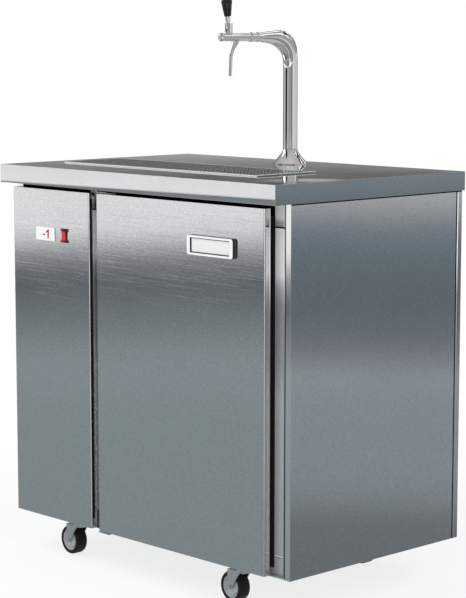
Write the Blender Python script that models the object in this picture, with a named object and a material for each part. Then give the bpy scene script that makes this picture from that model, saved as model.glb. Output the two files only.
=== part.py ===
"""Kegerator: a refrigerated keg counter on swivel casters, with a swan-neck beer tower on its worktop.

Metres, +Z up. The floor is Z = 0, X runs to the right and Y to the back. The origin lies on the floor,
under the middle of the worktop. At rest the door is shut and the tap is closed.
"""

import math

import bmesh
import bpy
from mathutils import Matrix, Vector

# Clearances, sheet metal and roundness
GAP = 0.0003  # between pieces that touch
OVERRUN = 0.01  # how far a cutter runs past what it cuts
WELD = 0.000001  # vertices nearer than this are one
SHEET = 0.0012  # folded stainless sheet
FOLD_LIP = 0.012  # inward lip at the back of a folded pan
FOLD_RADIUS = 0.004  # outside radius of a front's upright folds
FOLD_STEPS = 4
JOINT_SEAM = 0.0012  # open seam between two frame members
ROUND_STEPS = 24
SMALL_STEPS = 16
SMOOTH_ANGLE = math.radians(35)

# Worktop
WORKTOP_WIDTH = 1.0
WORKTOP_DEPTH = 0.65
COUNTER_HEIGHT = 1.01  # floor to worktop
WORKTOP_EDGE = 0.046

# Cabinet outline
SIDE_OVERHANG = 0.005
REAR_OVERHANG = 0.004
FRONT_OVERHANG = 0.0363
FRONT_HEADROOM = 0.0128  # above the door and the machine-bay cover
FRONT_FOOTROOM = 0.002  # below them
FRONT_RETURN = 0.0185  # folded edge of the door and the cover
FRAME_SETBACK = 0.016  # from the back of the door's skin to the frame
SIDE_SETBACK = 0.0005  # from the same plane to the side panels' front edge
POST_WIDTH = 0.0178  # front return of a side panel
REAR_FLANGE = 0.0185  # the back panel's wrap round the sides
REAR_SEAM = 0.0015

# Front layout
COVER_WIDTH = 0.305
DOOR_GAP = 0.028  # between the cover and the door
DOOR_FROM_SIDE = 0.065  # between the door and the right side's outside
TOP_RAIL_HEIGHT = 0.056
BOTTOM_RAIL_HEIGHT = 0.044
FRAME_DEPTH = 0.04
OPENING_LAP = 0.025  # the door's overlap on each side of the opening
MULLION_TAIL = 0.0475  # how far the mullion reaches behind the cover
COVER_RIB_INSET = 0.0042
COVER_RIB_WIDTH = 0.018
BASE_LIP = 0.008
BREAKER = 0.0015  # thickness of the plastic thermal break

# Cold box
WALL_FOAM = 0.05
BACK_FOAM = 0.045
PARTITION_FOAM = 0.05
LINER = 0.001

# Door
GASKET_INSET = 0.012
GASKET_WIDTH = 0.018
LINER_INSET = 0.006
PLUG_MARGIN = 0.012  # between the door's plug and the opening
PLUG_DEPTH = 0.014  # of the plug past the frame's front
HINGE_PIN_RADIUS = 0.004
HINGE_PIN_LENGTH = 0.012
HINGE_PLATE = 0.0025
HINGE_PLATE_BEHIND = 0.014
HINGE_PLATE_AHEAD = 0.026
HINGE_PLATE_NOSE = 0.008
HINGE_PLATE_TAIL = 0.03
HINGE_TOP_GAP = 0.0025
HINGE_FLANGE_DROP = 0.008

# Label plate on the door
PLATE_WIDTH = 0.156
PLATE_HEIGHT = 0.0465
PLATE_FROM_RIGHT = 0.0953
PLATE_FROM_TOP = 0.0752
PLATE_BORDER = 0.0115
PLATE_DEPTH = 0.008
PLATE_RADIUS = 0.006
INSERT_DEPTH = 0.0045

# Temperature display and power switch on the cover
DISPLAY_WIDTH = 0.0745
DISPLAY_HEIGHT = 0.0335
DISPLAY_PROUD = 0.0022
DISPLAY_BODY_INSET = 0.0025
DISPLAY_BODY_DEPTH = 0.045
DISPLAY_FROM_LEFT = 0.097
CONTROLS_FROM_TOP = 0.0962
SWITCH_HEIGHT = 0.0355
SWITCH_END_WIDTH = 0.028
SWITCH_WAIST_WIDTH = 0.0185
SWITCH_END_HEIGHT = 0.0068
SWITCH_PROUD = 0.0018
SWITCH_BODY_DEPTH = 0.02
SWITCH_WALL = 0.002
SWITCH_FROM_LEFT = 0.2095
ROCKER_MARGIN = 0.00615  # between the rocker and each end of the switch
ROCKER_PROUD = 0.0022
ROCKER_DEPTH = 0.007
ROCKER_TILT = math.radians(8)

# Drip tray
TRAY_FROM_LEFT = 0.07275  # of the worktop's left edge
TRAY_FROM_RIGHT = 0.21375
TRAY_FROM_FRONT = 0.153
TRAY_DEPTH = 0.196
TRAY_RIM = 0.0028
TRAY_RIM_WALL = 0.004
TRAY_FLANGE = 0.009
TRAY_WELL = 0.024
TRAY_SEAT = 0.0022
TRAY_CLEARANCE = 0.0005
GRILLE_BORDER = 0.012
SLOT_PITCH = 0.024
SLOT_WIDTH = 0.011
SLOT_ROWS = 3
SLOT_BRIDGE = 0.011
SLOT_LEAN = 0.016

# Tower
TOWER_FROM_OPENING = 0.147  # of the door opening's left side
TOWER_FROM_BACK = 0.109  # of the worktop's back edge
FLANGE_RADIUS = 0.045
FLANGE_THICKNESS = 0.0025
FLARE_HEIGHT = 0.036
FLARE_POWER = 1.3
FLARE_STATIONS = 5
COLUMN_RADIUS = 0.0186
ARM_REACH = 0.116
ARM_HEIGHT = 0.3225
ARM_STRAIGHT = 0.016  # level part of the arm's underside
THROAT_FALL = 0.0675  # from the arm's axis to the start of the bend, in front
BACK_FALL = 0.0375  # and behind
CROWN_REACH = 0.04
CROWN_RISE = 0.018  # of the bend's top above the arm's axis
THROAT_DROP = 0.014  # of the bend's inside below it
ARM_RADIUS = 0.011
BEND_POINTS = 12
NECK_STATIONS = 14
TOWER_BORE = 0.0065
SHANK_RADIUS = 0.011
SHANK_LENGTH = 0.065
NUT_RADIUS = 0.021
NUT_HEIGHT = 0.01
TUBE_RADIUS = 0.004
TUBE_BORE = 0.0025
TUBE_TAIL = 0.055  # below the cold box ceiling
TUBE_SIDES = 8
SERVICE_HOLE = 0.03

# Tap: distances along the arm are counted from the end of the tower's arm
NUT_LENGTH = 0.03
NUT_OUTER = 0.0123
NUT_WAIST = 0.0108
NUT_RIDGE = 0.008
NUT_CHAMFER = 0.0015
SPIGOT_RADIUS = 0.0062
SPIGOT_LENGTH = 0.012
BODY_RADIUS = 0.0101
BODY_LENGTH = 0.093
CAP_RADIUS = 0.0107
CAP_LENGTH = 0.008
CAP_DOME_SHARE = 0.6
LEVER_FROM_ARM = 0.101
SPOUT_FROM_ARM = 0.078
BOSS_RADIUS = 0.0094
BOSS_HEIGHT = 0.0115
BONNET_OUTER = 0.0097
BONNET_INNER = 0.0075
BONNET_HEIGHT = 0.0225
BONNET_FOOT = 0.0015  # wall left under the lever's slot, above the pivot
BALL_ANGLES = (-90, -60, -30, 0, 30)  # degrees
STEM_RADIUS = 0.0042
STEM_SLACK = 0.0006
COLLAR_RADIUS = 0.0064
COLLAR_START = 0.0185  # above the pivot
KNOB_START = 0.032
KNOB_FOOT_RADIUS = 0.0084
KNOB_RADIUS = 0.0137
KNOB_SHOULDER = 0.036
KNOB_HEIGHT = 0.0475
KNOB_DOME_SHARES = (0.45, 0.8)
LEVER_LEAN = math.radians(6)
SPOUT_DROP = 0.0835
SPOUT_LEAN = 0.0175
SPOUT_RADIUS = 0.004
SPOUT_BORE = 0.0026
SPOUT_SHARES = (  # of the drop, of the lean, and of the flare that is left
    (0, 0, 1),
    (0.1, 0.28, 0.62),
    (0.2, 0.55, 0.33),
    (0.32, 0.77, 0.13),
    (0.48, 0.9, 0.04),
    (1, 1, 0),
)

# Casters
CASTER_FRONT_INSET = 0.0418  # from the cabinet's front to the front swivel axes
CASTER_REAR_INSET = 0.075  # from its back to the rear ones
CASTER_FRONT_SIDE_INSET = 0.191  # from its sides to the front swivel axes
CASTER_REAR_SIDE_INSET = 0.215
CASTER_REST_TURN = math.radians(-2)
WHEEL_RADIUS = 0.0375
WHEEL_TRAIL = 0.0335
TYRE_WIDTH = 0.032
TYRE_DEPTH = 0.0095
TYRE_SHOULDER = 0.005
TREAD_SHARE = 0.3
HUB_SETBACK = 0.002  # from the tyre's side
HUB_DISC = 0.019
HUB_STEP = 0.003
AXLE_RADIUS = 0.004
AXLE_HEAD = 0.0055
AXLE_HEAD_HEIGHT = 0.003
FORK_SHEET = 0.0025
FORK_SLACK = 0.0015
CROWN_CLEARANCE = 0.0035
CROWN_NOSE = 0.016
LEG_NOSE = 0.004
LEG_TIP = 0.0065
LEG_TIP_ANGLES = (180, 225, 270, 315, 340)  # degrees
FORK_RACE_RADIUS = 0.0215
FORK_RACE_HEIGHT = 0.0109
MOUNT_RACE_RADIUS = 0.02
MOUNT_RACE_HEIGHT = 0.0075
MOUNT_LENGTH = 0.066
MOUNT_WIDTH = 0.052
MOUNT_PLATE = 0.0025
KINGPIN_RADIUS = 0.005
KINGPIN_HEAD = 0.0085
KINGPIN_HEAD_HEIGHT = 0.003

# Cooling machine
CONDENSER_WIDTH = 0.215
CONDENSER_HEIGHT = 0.2
CONDENSER_DEPTH = 0.045
CONDENSER_FINS = 10
FIN_SLOT = 0.008
FIN_SLOT_DEPTH = 0.006
CONDENSER_SETBACK = 0.02
SHROUD_DEPTH = 0.03
FAN_RADIUS = 0.077
FAN_TIP_GAP = 0.005
FAN_HUB = 0.022
FAN_BLADES = 5
FAN_BLADE_WIDTH = 0.036
FAN_BLADE_THICKNESS = 0.002
FAN_PITCH = math.radians(28)
FAN_HUB_LENGTH = 0.012
FAN_ROOT_SHARE = 0.7
MOTOR_RADIUS = 0.026
MOTOR_LENGTH = 0.04
MOTOR_SHAFT = 0.003
MOTOR_ARM = 0.008
MOTOR_STANDOFF = 0.005
COMPRESSOR_RADIUS = 0.075
COMPRESSOR_HEIGHT = 0.165
COMPRESSOR_FOOT = 0.006
COMPRESSOR_FOOT_SIZE = 0.19
COMPRESSOR_FROM_BACK = 0.135
COMPRESSOR_SHARES = ((0.72, 0), (0.97, 0.16), (1, 0.42), (1, 0.55), (0.94, 0.75), (0.68, 0.93), (0.3, 1))
EVAPORATOR_WIDTH = 0.35
EVAPORATOR_FROM_BACK = 0.0872
EVAPORATOR_HEIGHT = 0.065
EVAPORATOR_FROM_FRONT = 0.1
EVAPORATOR_FROM_RIGHT = 0.03
EVAPORATOR_SLOTS = 6
VENT_SLOTS = 9
VENT_WIDTH = 0.19
VENT_SLOT = 0.008
VENT_PITCH = 0.022
VENT_START = 0.14  # above the base
INLET_WIDTH = 0.048
INLET_HEIGHT = 0.03
INLET_PROUD = 0.0025
INLET_BODY_INSET = 0.004
INLET_BODY_DEPTH = 0.026
INLET_SOCKET_DEPTH = 0.016
INLET_SOCKET_WALL = 0.0025
INLET_FROM_BASE = 0.06

# Levels and planes that the pieces share
HALF_WIDTH = WORKTOP_WIDTH / 2
HALF_DEPTH = WORKTOP_DEPTH / 2
WORKTOP_LOW = COUNTER_HEIGHT - WORKTOP_EDGE
BODY_TOP = WORKTOP_LOW - GAP
CROWN_LOW = 2 * WHEEL_RADIUS + CROWN_CLEARANCE
BODY_LOW = CROWN_LOW + FORK_RACE_HEIGHT + MOUNT_RACE_HEIGHT + MOUNT_PLATE + 2 * GAP
BODY_X = HALF_WIDTH - SIDE_OVERHANG
BODY_BACK = HALF_DEPTH - REAR_OVERHANG
FRONT_Y = FRONT_OVERHANG - HALF_DEPTH
RETURN_Y = FRONT_Y + FRONT_RETURN
FRAME_Y = RETURN_Y + FRAME_SETBACK
BREAKER_Y = FRAME_Y - GAP - BREAKER
SIDE_Y = RETURN_Y + SIDE_SETBACK
FRONT_TOP = WORKTOP_LOW - FRONT_HEADROOM
FRONT_LOW = BODY_LOW + FRONT_FOOTROOM
SKIN_X = BODY_X - SHEET - GAP  # what stands against the inside of a side panel
PAN_X = SKIN_X - SHEET - GAP  # what stands inside the base pan's wall
POST_X = BODY_X - POST_WIDTH
COVER_RIGHT = COVER_WIDTH - BODY_X
DOOR_LEFT = COVER_RIGHT + DOOR_GAP
DOOR_RIGHT = BODY_X - DOOR_FROM_SIDE
OPENING_LEFT = DOOR_LEFT + OPENING_LAP
OPENING_RIGHT = DOOR_RIGHT - OPENING_LAP
OPENING_TOP = WORKTOP_LOW - TOP_RAIL_HEIGHT
OPENING_LOW = BODY_LOW + BOTTOM_RAIL_HEIGHT
FRAME_BACK = FRAME_Y + FRAME_DEPTH
FLOOR_TOP = BODY_LOW + SHEET + GAP
BACK_INSIDE = BODY_BACK - SHEET - GAP
PARTITION_X = OPENING_LEFT - PARTITION_FOAM
CAVITY_LEFT = OPENING_LEFT - LINER - GAP
CAVITY_RIGHT = PAN_X - WALL_FOAM
CAVITY_BACK = BACK_INSIDE - SHEET - GAP - BACK_FOAM
CAVITY_LOW = OPENING_LOW - LINER - GAP
CAVITY_TOP = OPENING_TOP + LINER + GAP
HINGE_X = DOOR_LEFT + GASKET_INSET
HINGE_Y = FRONT_Y + FRONT_RETURN / 2
TRAY_X = (TRAY_FROM_LEFT - HALF_WIDTH, HALF_WIDTH - TRAY_FROM_RIGHT)
TRAY_Y = (TRAY_FROM_FRONT - HALF_DEPTH, TRAY_FROM_FRONT + TRAY_DEPTH - HALF_DEPTH)
TOWER_X = OPENING_LEFT + TOWER_FROM_OPENING
TOWER_Y = HALF_DEPTH - TOWER_FROM_BACK


def material(name, colour, roughness, metallic=0.0):
    made = bpy.data.materials.new(name)
    made.use_nodes = True
    shader = made.node_tree.nodes["Principled BSDF"]
    shader.inputs["Base Color"].default_value = (*colour, 1)
    shader.inputs["Roughness"].default_value = roughness
    shader.inputs["Metallic"].default_value = metallic
    return made


def new_object(name, bm, coat, at=(0, 0, 0), turn=None):
    """An object from a bmesh. One without a material is a cutter, which isn't part of the model."""
    bmesh.ops.recalc_face_normals(bm, faces=bm.faces)
    mesh = bpy.data.meshes.new(name)
    bm.to_mesh(mesh)
    bm.free()
    made = bpy.data.objects.new(name, mesh)
    made.location = at
    if turn:
        made.rotation_euler = turn
    bpy.context.scene.collection.objects.link(made)
    if coat:
        mesh.materials.append(coat)
    else:
        made.hide_render = True
        made.display_type = "WIRE"
    return made


def smooth(piece):
    piece.data.shade_smooth()
    piece.data.set_sharp_from_angle(angle=SMOOTH_ANGLE)
    return piece


def block(name, x, y, z, coat=None):
    """A box between three pairs of coordinates, with its origin at its centre."""
    spans = (x, y, z)
    bm = bmesh.new()
    bmesh.ops.create_cube(bm, size=1)
    bmesh.ops.scale(bm, verts=bm.verts, vec=[high - low for low, high in spans])
    return new_object(name, bm, coat, [(low + high) / 2 for low, high in spans])


def prism(name, outlines, along, span, coat=None):
    """Outlines extruded along an axis. Their points give the other two coordinates, in order."""
    across = "XYZ".index(along)
    bm = bmesh.new()
    for outline in outlines:
        ends = []
        for level in span:
            points = [list(point) for point in outline]
            for point in points:
                point.insert(across, level)
            ends.append([bm.verts.new(point) for point in points])
        bm.faces.new(ends[0])
        bm.faces.new(ends[1])
        for first, second in zip(range(len(outline)), [*range(1, len(outline)), 0]):
            bm.faces.new((ends[0][first], ends[0][second], ends[1][second], ends[1][first]))
    return new_object(name, bm, coat)


def turned(name, profile, at, coat=None, steps=ROUND_STEPS, towards=(0, 0, 1), ring=False):
    """A profile of (radius, distance) pairs turned about an axis that leaves a point in a direction."""
    bm = bmesh.new()
    points = [bm.verts.new((radius, 0, distance)) for radius, distance in profile]
    pairs = list(zip(points, points[1:]))
    if ring:
        pairs.append((points[-1], points[0]))
    edges = [bm.edges.new(pair) for pair in pairs]
    bmesh.ops.spin(
        bm, geom=points + edges, cent=(0, 0, 0), axis=(0, 0, 1), dvec=(0, 0, 0), angle=math.tau, steps=steps
    )
    bmesh.ops.remove_doubles(bm, verts=bm.verts, dist=WELD)
    turn = Vector(towards).to_track_quat("Z", "Y").to_euler()
    return smooth(new_object(name, bm, coat, at, turn))


def rod(name, radius, start, end, coat=None, steps=SMALL_STEPS):
    """A round bar from one point to another."""
    start, end = Vector(start), Vector(end)
    length = (end - start).length
    profile = ((0, 0), (radius, 0), (radius, length), (0, length))
    return turned(name, profile, start, coat, steps, end - start)


def lofted(name, rings, coat, closed=False):
    """Rings of points joined one to the next, capped at both ends, or closed into a sleeve."""
    bm = bmesh.new()
    loops = [[bm.verts.new(point) for point in ring] for ring in rings]
    pairs = list(zip(loops, loops[1:]))
    if closed:
        pairs.append((loops[-1], loops[0]))
    else:
        bm.faces.new(loops[0])
        bm.faces.new(loops[-1])
    for low, high in pairs:
        for index in range(len(low)):
            after = (index + 1) % len(low)
            bm.faces.new((low[index], low[after], high[after], high[index]))
    return smooth(new_object(name, bm, coat))


def oval(centre, across, upward, half_across, half_up, sides):
    """A ring of points round a centre, in the plane of two unit directions."""
    angles = [math.tau * index / sides for index in range(sides)]
    return [
        centre + across * (half_across * math.cos(angle)) + upward * (half_up * math.sin(angle))
        for angle in angles
    ]


def boolean(piece, tool, operation):
    change = piece.modifiers.new(tool.name, "BOOLEAN")
    change.operation = operation
    change.solver = "EXACT"
    change.object = tool
    return piece


def cut(piece, *tools):
    for tool in tools:
        boolean(piece, tool, "DIFFERENCE")
    return piece


def fuse(piece, *tools):
    for tool in tools:
        boolean(piece, tool, "UNION")
    return piece


def pivot(name, at, turn=(0, 0, 0)):
    empty = bpy.data.objects.new(name, None)
    empty.location = at
    empty.rotation_euler = turn
    bpy.context.scene.collection.objects.link(empty)
    return empty


def hang(empty, *pieces):
    """Parents pieces that were modelled in the world's coordinates."""
    for piece in pieces:
        piece.parent = empty
        piece.matrix_parent_inverse = Matrix.Translation(-empty.location)


def carry(empty, *pieces):
    """Parents pieces that were modelled in the empty's own coordinates."""
    for piece in pieces:
        piece.parent = empty


def rounded(width, height, radius, centre_x, centre_z, steps=3):
    """A rectangle with round corners, as (x, z) points."""
    points = []
    for corner in range(4):
        sign_x = 1 if corner in (0, 3) else -1
        sign_z = 1 if corner in (0, 1) else -1
        for step in range(steps + 1):
            angle = math.pi / 2 * (corner + step / steps)
            points.append(
                (
                    centre_x + sign_x * (width / 2 - radius) + radius * math.cos(angle),
                    centre_z + sign_z * (height / 2 - radius) + radius * math.sin(angle),
                )
            )
    return points


def front_slab(name, x, z, inset, coat=None):
    """What fills a folded front to within an inset of its outside, round its upright folds too."""
    radius = FOLD_RADIUS - inset
    left, right, front = x[0] + inset, x[1] - inset, FRONT_Y + inset
    turns = [math.pi / 2 * step / FOLD_STEPS for step in range(FOLD_STEPS + 1)]
    outline = [(right, RETURN_Y - inset), (left, RETURN_Y - inset)]
    for turn in turns:
        outline.append((left + radius - radius * math.cos(turn), front + radius - radius * math.sin(turn)))
    for turn in turns:
        outline.append((right - radius + radius * math.sin(turn), front + radius - radius * math.cos(turn)))
    return prism(name, [outline], "Z", (z[0] + inset, z[1] - inset), coat)


def folded_pan(name, x, z, coat):
    """A sheet folded back on four sides and in again, open behind."""
    pan = front_slab(name, x, z, 0, coat)
    inside = front_slab("cut_" + name + "_inside", x, z, SHEET)
    behind = block(
        "cut_" + name + "_behind",
        (x[0] + FOLD_LIP, x[1] - FOLD_LIP),
        (RETURN_Y - SHEET - GAP, RETURN_Y + OVERRUN),
        (z[0] + FOLD_LIP, z[1] - FOLD_LIP),
    )
    return cut(pan, inside, behind)


def worktop(coats):
    inside = HALF_WIDTH - SHEET, HALF_DEPTH - SHEET
    lip = HALF_WIDTH - FOLD_LIP, HALF_DEPTH - FOLD_LIP
    core_z = (WORKTOP_LOW + SHEET + GAP, COUNTER_HEIGHT - SHEET - GAP)
    hollow = block(
        "cut_worktop_hollow",
        (-inside[0], inside[0]),
        (-inside[1], inside[1]),
        (WORKTOP_LOW + SHEET, COUNTER_HEIGHT - SHEET),
    )
    mouth = block(
        "cut_worktop_mouth",
        (-lip[0], lip[0]),
        (-lip[1], lip[1]),
        (WORKTOP_LOW - OVERRUN, WORKTOP_LOW + SHEET + GAP),
    )
    well = block(
        "cut_tray_well",
        (TRAY_X[0] + TRAY_FLANGE, TRAY_X[1] - TRAY_FLANGE),
        (TRAY_Y[0] + TRAY_FLANGE, TRAY_Y[1] - TRAY_FLANGE),
        (COUNTER_HEIGHT - TRAY_WELL - TRAY_CLEARANCE, COUNTER_HEIGHT + OVERRUN),
    )
    hole = rod(
        "cut_tower_hole",
        SHANK_RADIUS + GAP,
        (TOWER_X, TOWER_Y, WORKTOP_LOW - OVERRUN),
        (TOWER_X, TOWER_Y, COUNTER_HEIGHT + OVERRUN),
    )
    skin = block(
        "worktop_skin",
        (-HALF_WIDTH, HALF_WIDTH),
        (-HALF_DEPTH, HALF_DEPTH),
        (WORKTOP_LOW, COUNTER_HEIGHT),
        coats["steel"],
    )
    cut(skin, hollow, mouth, well, hole)
    core = block(
        "worktop_core",
        (GAP - inside[0], inside[0] - GAP),
        (GAP - inside[1], inside[1] - GAP),
        core_z,
        coats["board"],
    )
    cut(core, well, hole)


def drip_tray(coats):
    left, right = TRAY_X
    front, back = TRAY_Y
    rim_low, rim_top = COUNTER_HEIGHT + GAP, COUNTER_HEIGHT + GAP + TRAY_RIM
    well_low = COUNTER_HEIGHT - TRAY_WELL
    seat = rim_top - TRAY_SEAT
    skirt = TRAY_FLANGE + TRAY_CLEARANCE
    hollow = skirt + SHEET

    def inset(name, by, z, coat=None):
        return block(name, (left + by, right - by), (front + by, back - by), z, coat)

    pan = inset("drip_tray_pan", 0, (rim_low, rim_top), coats["steel"])
    fuse(pan, inset("add_tray_well", skirt, (well_low, rim_low + GAP)))
    cut(pan, inset("cut_tray_seat", TRAY_RIM_WALL, (seat, rim_top + OVERRUN)))
    cut(pan, inset("cut_tray_hollow", hollow, (well_low + SHEET, rim_top + OVERRUN)))
    edge = TRAY_RIM_WALL + TRAY_CLEARANCE
    grille = inset("drip_tray_grille", edge, (seat + GAP, rim_top - GAP), coats["steel"])
    cut(grille, grille_slots(left + edge, right - edge, front + edge, back - edge, (seat, rim_top)))


def grille_slots(left, right, front, back, z):
    """Rows of slanted slots, as one cutter."""
    room = right - left - 2 * GRILLE_BORDER - SLOT_LEAN
    count = int((room - SLOT_WIDTH) / SLOT_PITCH) + 1
    start = (left + right) / 2 - ((count - 1) * SLOT_PITCH + SLOT_WIDTH + SLOT_LEAN) / 2
    depth = back - front - 2 * GRILLE_BORDER - (SLOT_ROWS - 1) * SLOT_BRIDGE
    length = depth / SLOT_ROWS
    outlines = []
    for row in range(SLOT_ROWS):
        low = front + GRILLE_BORDER + row * (length + SLOT_BRIDGE)
        high = low + length
        for index in range(count):
            x = start + index * SLOT_PITCH
            outlines.append(
                ((x, low), (x + SLOT_WIDTH, low), (x + SLOT_WIDTH + SLOT_LEAN, high), (x + SLOT_LEAN, high))
            )
    return prism("cut_grille_slots", outlines, "Z", (z[0] - OVERRUN, z[1] + OVERRUN))


def side_panel(name, side, coat):
    """A sheet whose front edge is folded in and back to the frame. The side is 1 for right, -1 for left."""
    inner = BODY_X - SHEET
    end = BODY_BACK - REAR_FLANGE - REAR_SEAM
    outline = (
        (BODY_X, SIDE_Y),
        (BODY_X, end),
        (inner, end),
        (inner, SIDE_Y + SHEET),
        (POST_X + SHEET, SIDE_Y + SHEET),
        (POST_X + SHEET, FRAME_Y - GAP),
        (POST_X, FRAME_Y - GAP),
        (POST_X, SIDE_Y),
    )
    return prism(name, [[(side * x, y) for x, y in outline]], "Z", (BODY_LOW, BODY_TOP), coat)


def back_panel(coats):
    inner = BODY_X - SHEET
    start = BODY_BACK - REAR_FLANGE
    deep = BODY_BACK - SHEET
    outline = (
        (-BODY_X, start),
        (-BODY_X, BODY_BACK),
        (BODY_X, BODY_BACK),
        (BODY_X, start),
        (inner, start),
        (inner, deep),
        (-inner, deep),
        (-inner, start),
    )
    panel = prism("back_panel", [outline], "Z", (BODY_LOW, BODY_TOP), coats["steel"])
    bay = (PARTITION_X - BODY_X) / 2
    slots = []
    for index in range(VENT_SLOTS):
        low = BODY_LOW + VENT_START + index * VENT_PITCH
        slots.append(
            (
                (bay - VENT_WIDTH / 2, low),
                (bay + VENT_WIDTH / 2, low),
                (bay + VENT_WIDTH / 2, low + VENT_SLOT),
                (bay - VENT_WIDTH / 2, low + VENT_SLOT),
            )
        )
    cut(panel, prism("cut_back_vents", slots, "Y", (deep - OVERRUN, BODY_BACK + OVERRUN)))
    inlet_low = BODY_LOW + INLET_FROM_BASE
    body = block(
        "cut_inlet_hole",
        (bay - INLET_WIDTH / 2 + INLET_BODY_INSET - GAP, bay + INLET_WIDTH / 2 - INLET_BODY_INSET + GAP),
        (deep - OVERRUN, BODY_BACK + OVERRUN),
        (inlet_low + INLET_BODY_INSET - GAP, inlet_low + INLET_HEIGHT - INLET_BODY_INSET + GAP),
    )
    cut(panel, body)
    power_inlet(bay, inlet_low, coats["black"])


def power_inlet(middle, low, coat):
    """An appliance inlet with an open socket, let into the back panel."""
    face = BODY_BACK + GAP
    inset = INLET_BODY_INSET
    wall = inset + INLET_SOCKET_WALL
    flange = block(
        "power_inlet",
        (middle - INLET_WIDTH / 2, middle + INLET_WIDTH / 2),
        (face, face + INLET_PROUD),
        (low, low + INLET_HEIGHT),
        coat,
    )
    body = block(
        "add_inlet_body",
        (middle - INLET_WIDTH / 2 + inset, middle + INLET_WIDTH / 2 - inset),
        (face - INLET_BODY_DEPTH, face + GAP),
        (low + inset, low + INLET_HEIGHT - inset),
    )
    socket = block(
        "cut_inlet_socket",
        (middle - INLET_WIDTH / 2 + wall, middle + INLET_WIDTH / 2 - wall),
        (face - INLET_SOCKET_DEPTH, face + INLET_PROUD + OVERRUN),
        (low + wall, low + INLET_HEIGHT - wall),
    )
    cut(fuse(flange, body), socket)


def base_pan(coat):
    """A pan with upright sides and back, narrower in front, where it passes between the posts."""
    lip_x = POST_X - GAP
    front = SIDE_Y + SHEET
    outline = (
        (-lip_x, front),
        (lip_x, front),
        (lip_x, FRAME_Y),
        (SKIN_X, FRAME_Y),
        (SKIN_X, BACK_INSIDE),
        (-SKIN_X, BACK_INSIDE),
        (-SKIN_X, FRAME_Y),
        (-lip_x, FRAME_Y),
    )
    pan = prism("base_pan", [outline], "Z", (BODY_LOW, BODY_LOW + BASE_LIP), coat)
    inside_x = SKIN_X - SHEET
    tub = block(
        "cut_base_tub",
        (-inside_x, inside_x),
        (front - OVERRUN, BACK_INSIDE - SHEET),
        (BODY_LOW + SHEET, BODY_LOW + BASE_LIP + OVERRUN),
    )
    cut(pan, tub)


def frame(coats):
    steel = coats["steel"]
    base_pan(steel)
    stile_z = (OPENING_LOW + JOINT_SEAM, OPENING_TOP - JOINT_SEAM)
    depth = (FRAME_Y, FRAME_BACK)
    block("frame_bottom_rail", (-PAN_X, PAN_X), depth, (FLOOR_TOP, OPENING_LOW), steel)
    block("frame_top_rail", (-PAN_X, PAN_X), depth, (OPENING_TOP, BODY_TOP), steel)
    block("frame_right_stile", (OPENING_RIGHT, PAN_X), depth, stile_z, steel)
    tail = OPENING_LEFT - OPENING_LAP - MULLION_TAIL
    mullion = block("frame_mullion", (tail, OPENING_LEFT), depth, stile_z, steel)
    rib_right = COVER_RIGHT - COVER_RIB_INSET
    rib = block(
        "add_cover_rib",
        (rib_right - COVER_RIB_WIDTH, rib_right),
        (RETURN_Y + GAP, depth[0] + GAP),
        stile_z,
    )
    fuse(mullion, rib)
    breaker_y = (BREAKER_Y, BREAKER_Y + BREAKER)
    breaker = block(
        "door_frame_breaker",
        (DOOR_LEFT, DOOR_RIGHT),
        breaker_y,
        (OPENING_LOW - OPENING_LAP, OPENING_TOP + OPENING_LAP),
        coats["black"],
    )
    mouth = block(
        "cut_breaker_mouth",
        (OPENING_LEFT, OPENING_RIGHT),
        (breaker_y[0] - OVERRUN, breaker_y[1] + OVERRUN),
        (OPENING_LOW, OPENING_TOP),
    )
    cut(breaker, mouth)


def cold_box(coats):
    top_z = (CAVITY_TOP - OVERRUN, BODY_TOP + OVERRUN)
    service = rod(
        "cut_service_hole", SERVICE_HOLE, (TOWER_X, TOWER_Y, top_z[0]), (TOWER_X, TOWER_Y, top_z[1])
    )
    back = BACK_INSIDE - SHEET - GAP
    foam = block(
        "insulation_foam",
        (PARTITION_X + GAP, PAN_X),
        (FRAME_BACK + GAP, back),
        (FLOOR_TOP, BODY_TOP),
        coats["foam"],
    )
    cavity = block(
        "cut_foam_cavity",
        (CAVITY_LEFT, CAVITY_RIGHT),
        (FRAME_BACK - OVERRUN, CAVITY_BACK),
        (CAVITY_LOW, CAVITY_TOP),
    )
    cut(foam, cavity, service)
    liner = block(
        "cold_box_liner",
        (CAVITY_LEFT + GAP, CAVITY_RIGHT - GAP),
        (FRAME_BACK + GAP, CAVITY_BACK - GAP),
        (CAVITY_LOW + GAP, CAVITY_TOP - GAP),
        coats["liner"],
    )
    inside = block(
        "cut_liner_inside",
        (CAVITY_LEFT + GAP + LINER, CAVITY_RIGHT - GAP - LINER),
        (FRAME_BACK - OVERRUN, CAVITY_BACK - GAP - LINER),
        (CAVITY_LOW + GAP + LINER, CAVITY_TOP - GAP - LINER),
    )
    tube_hole = rod(
        "cut_liner_tube_hole",
        TUBE_RADIUS + GAP,
        (TOWER_X, TOWER_Y, CAVITY_TOP - OVERRUN),
        (TOWER_X, TOWER_Y, CAVITY_TOP + OVERRUN),
        steps=TUBE_SIDES,
    )
    cut(liner, inside, tube_hole)
    block(
        "partition_panel",
        (PARTITION_X - SHEET, PARTITION_X),
        (FRAME_BACK + GAP, back),
        (FLOOR_TOP, BODY_TOP),
        coats["steel"],
    )


def machine_cover(coats):
    cover = folded_pan("machine_cover", (-BODY_X, COVER_RIGHT), (FRONT_LOW, FRONT_TOP), coats["brushed"])
    middle = FRONT_TOP - CONTROLS_FROM_TOP - DISPLAY_HEIGHT / 2
    display_x = DISPLAY_FROM_LEFT - BODY_X
    display(cover, (display_x, display_x + DISPLAY_WIDTH), middle, coats)
    switch(cover, SWITCH_FROM_LEFT - BODY_X, middle, coats)


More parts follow.
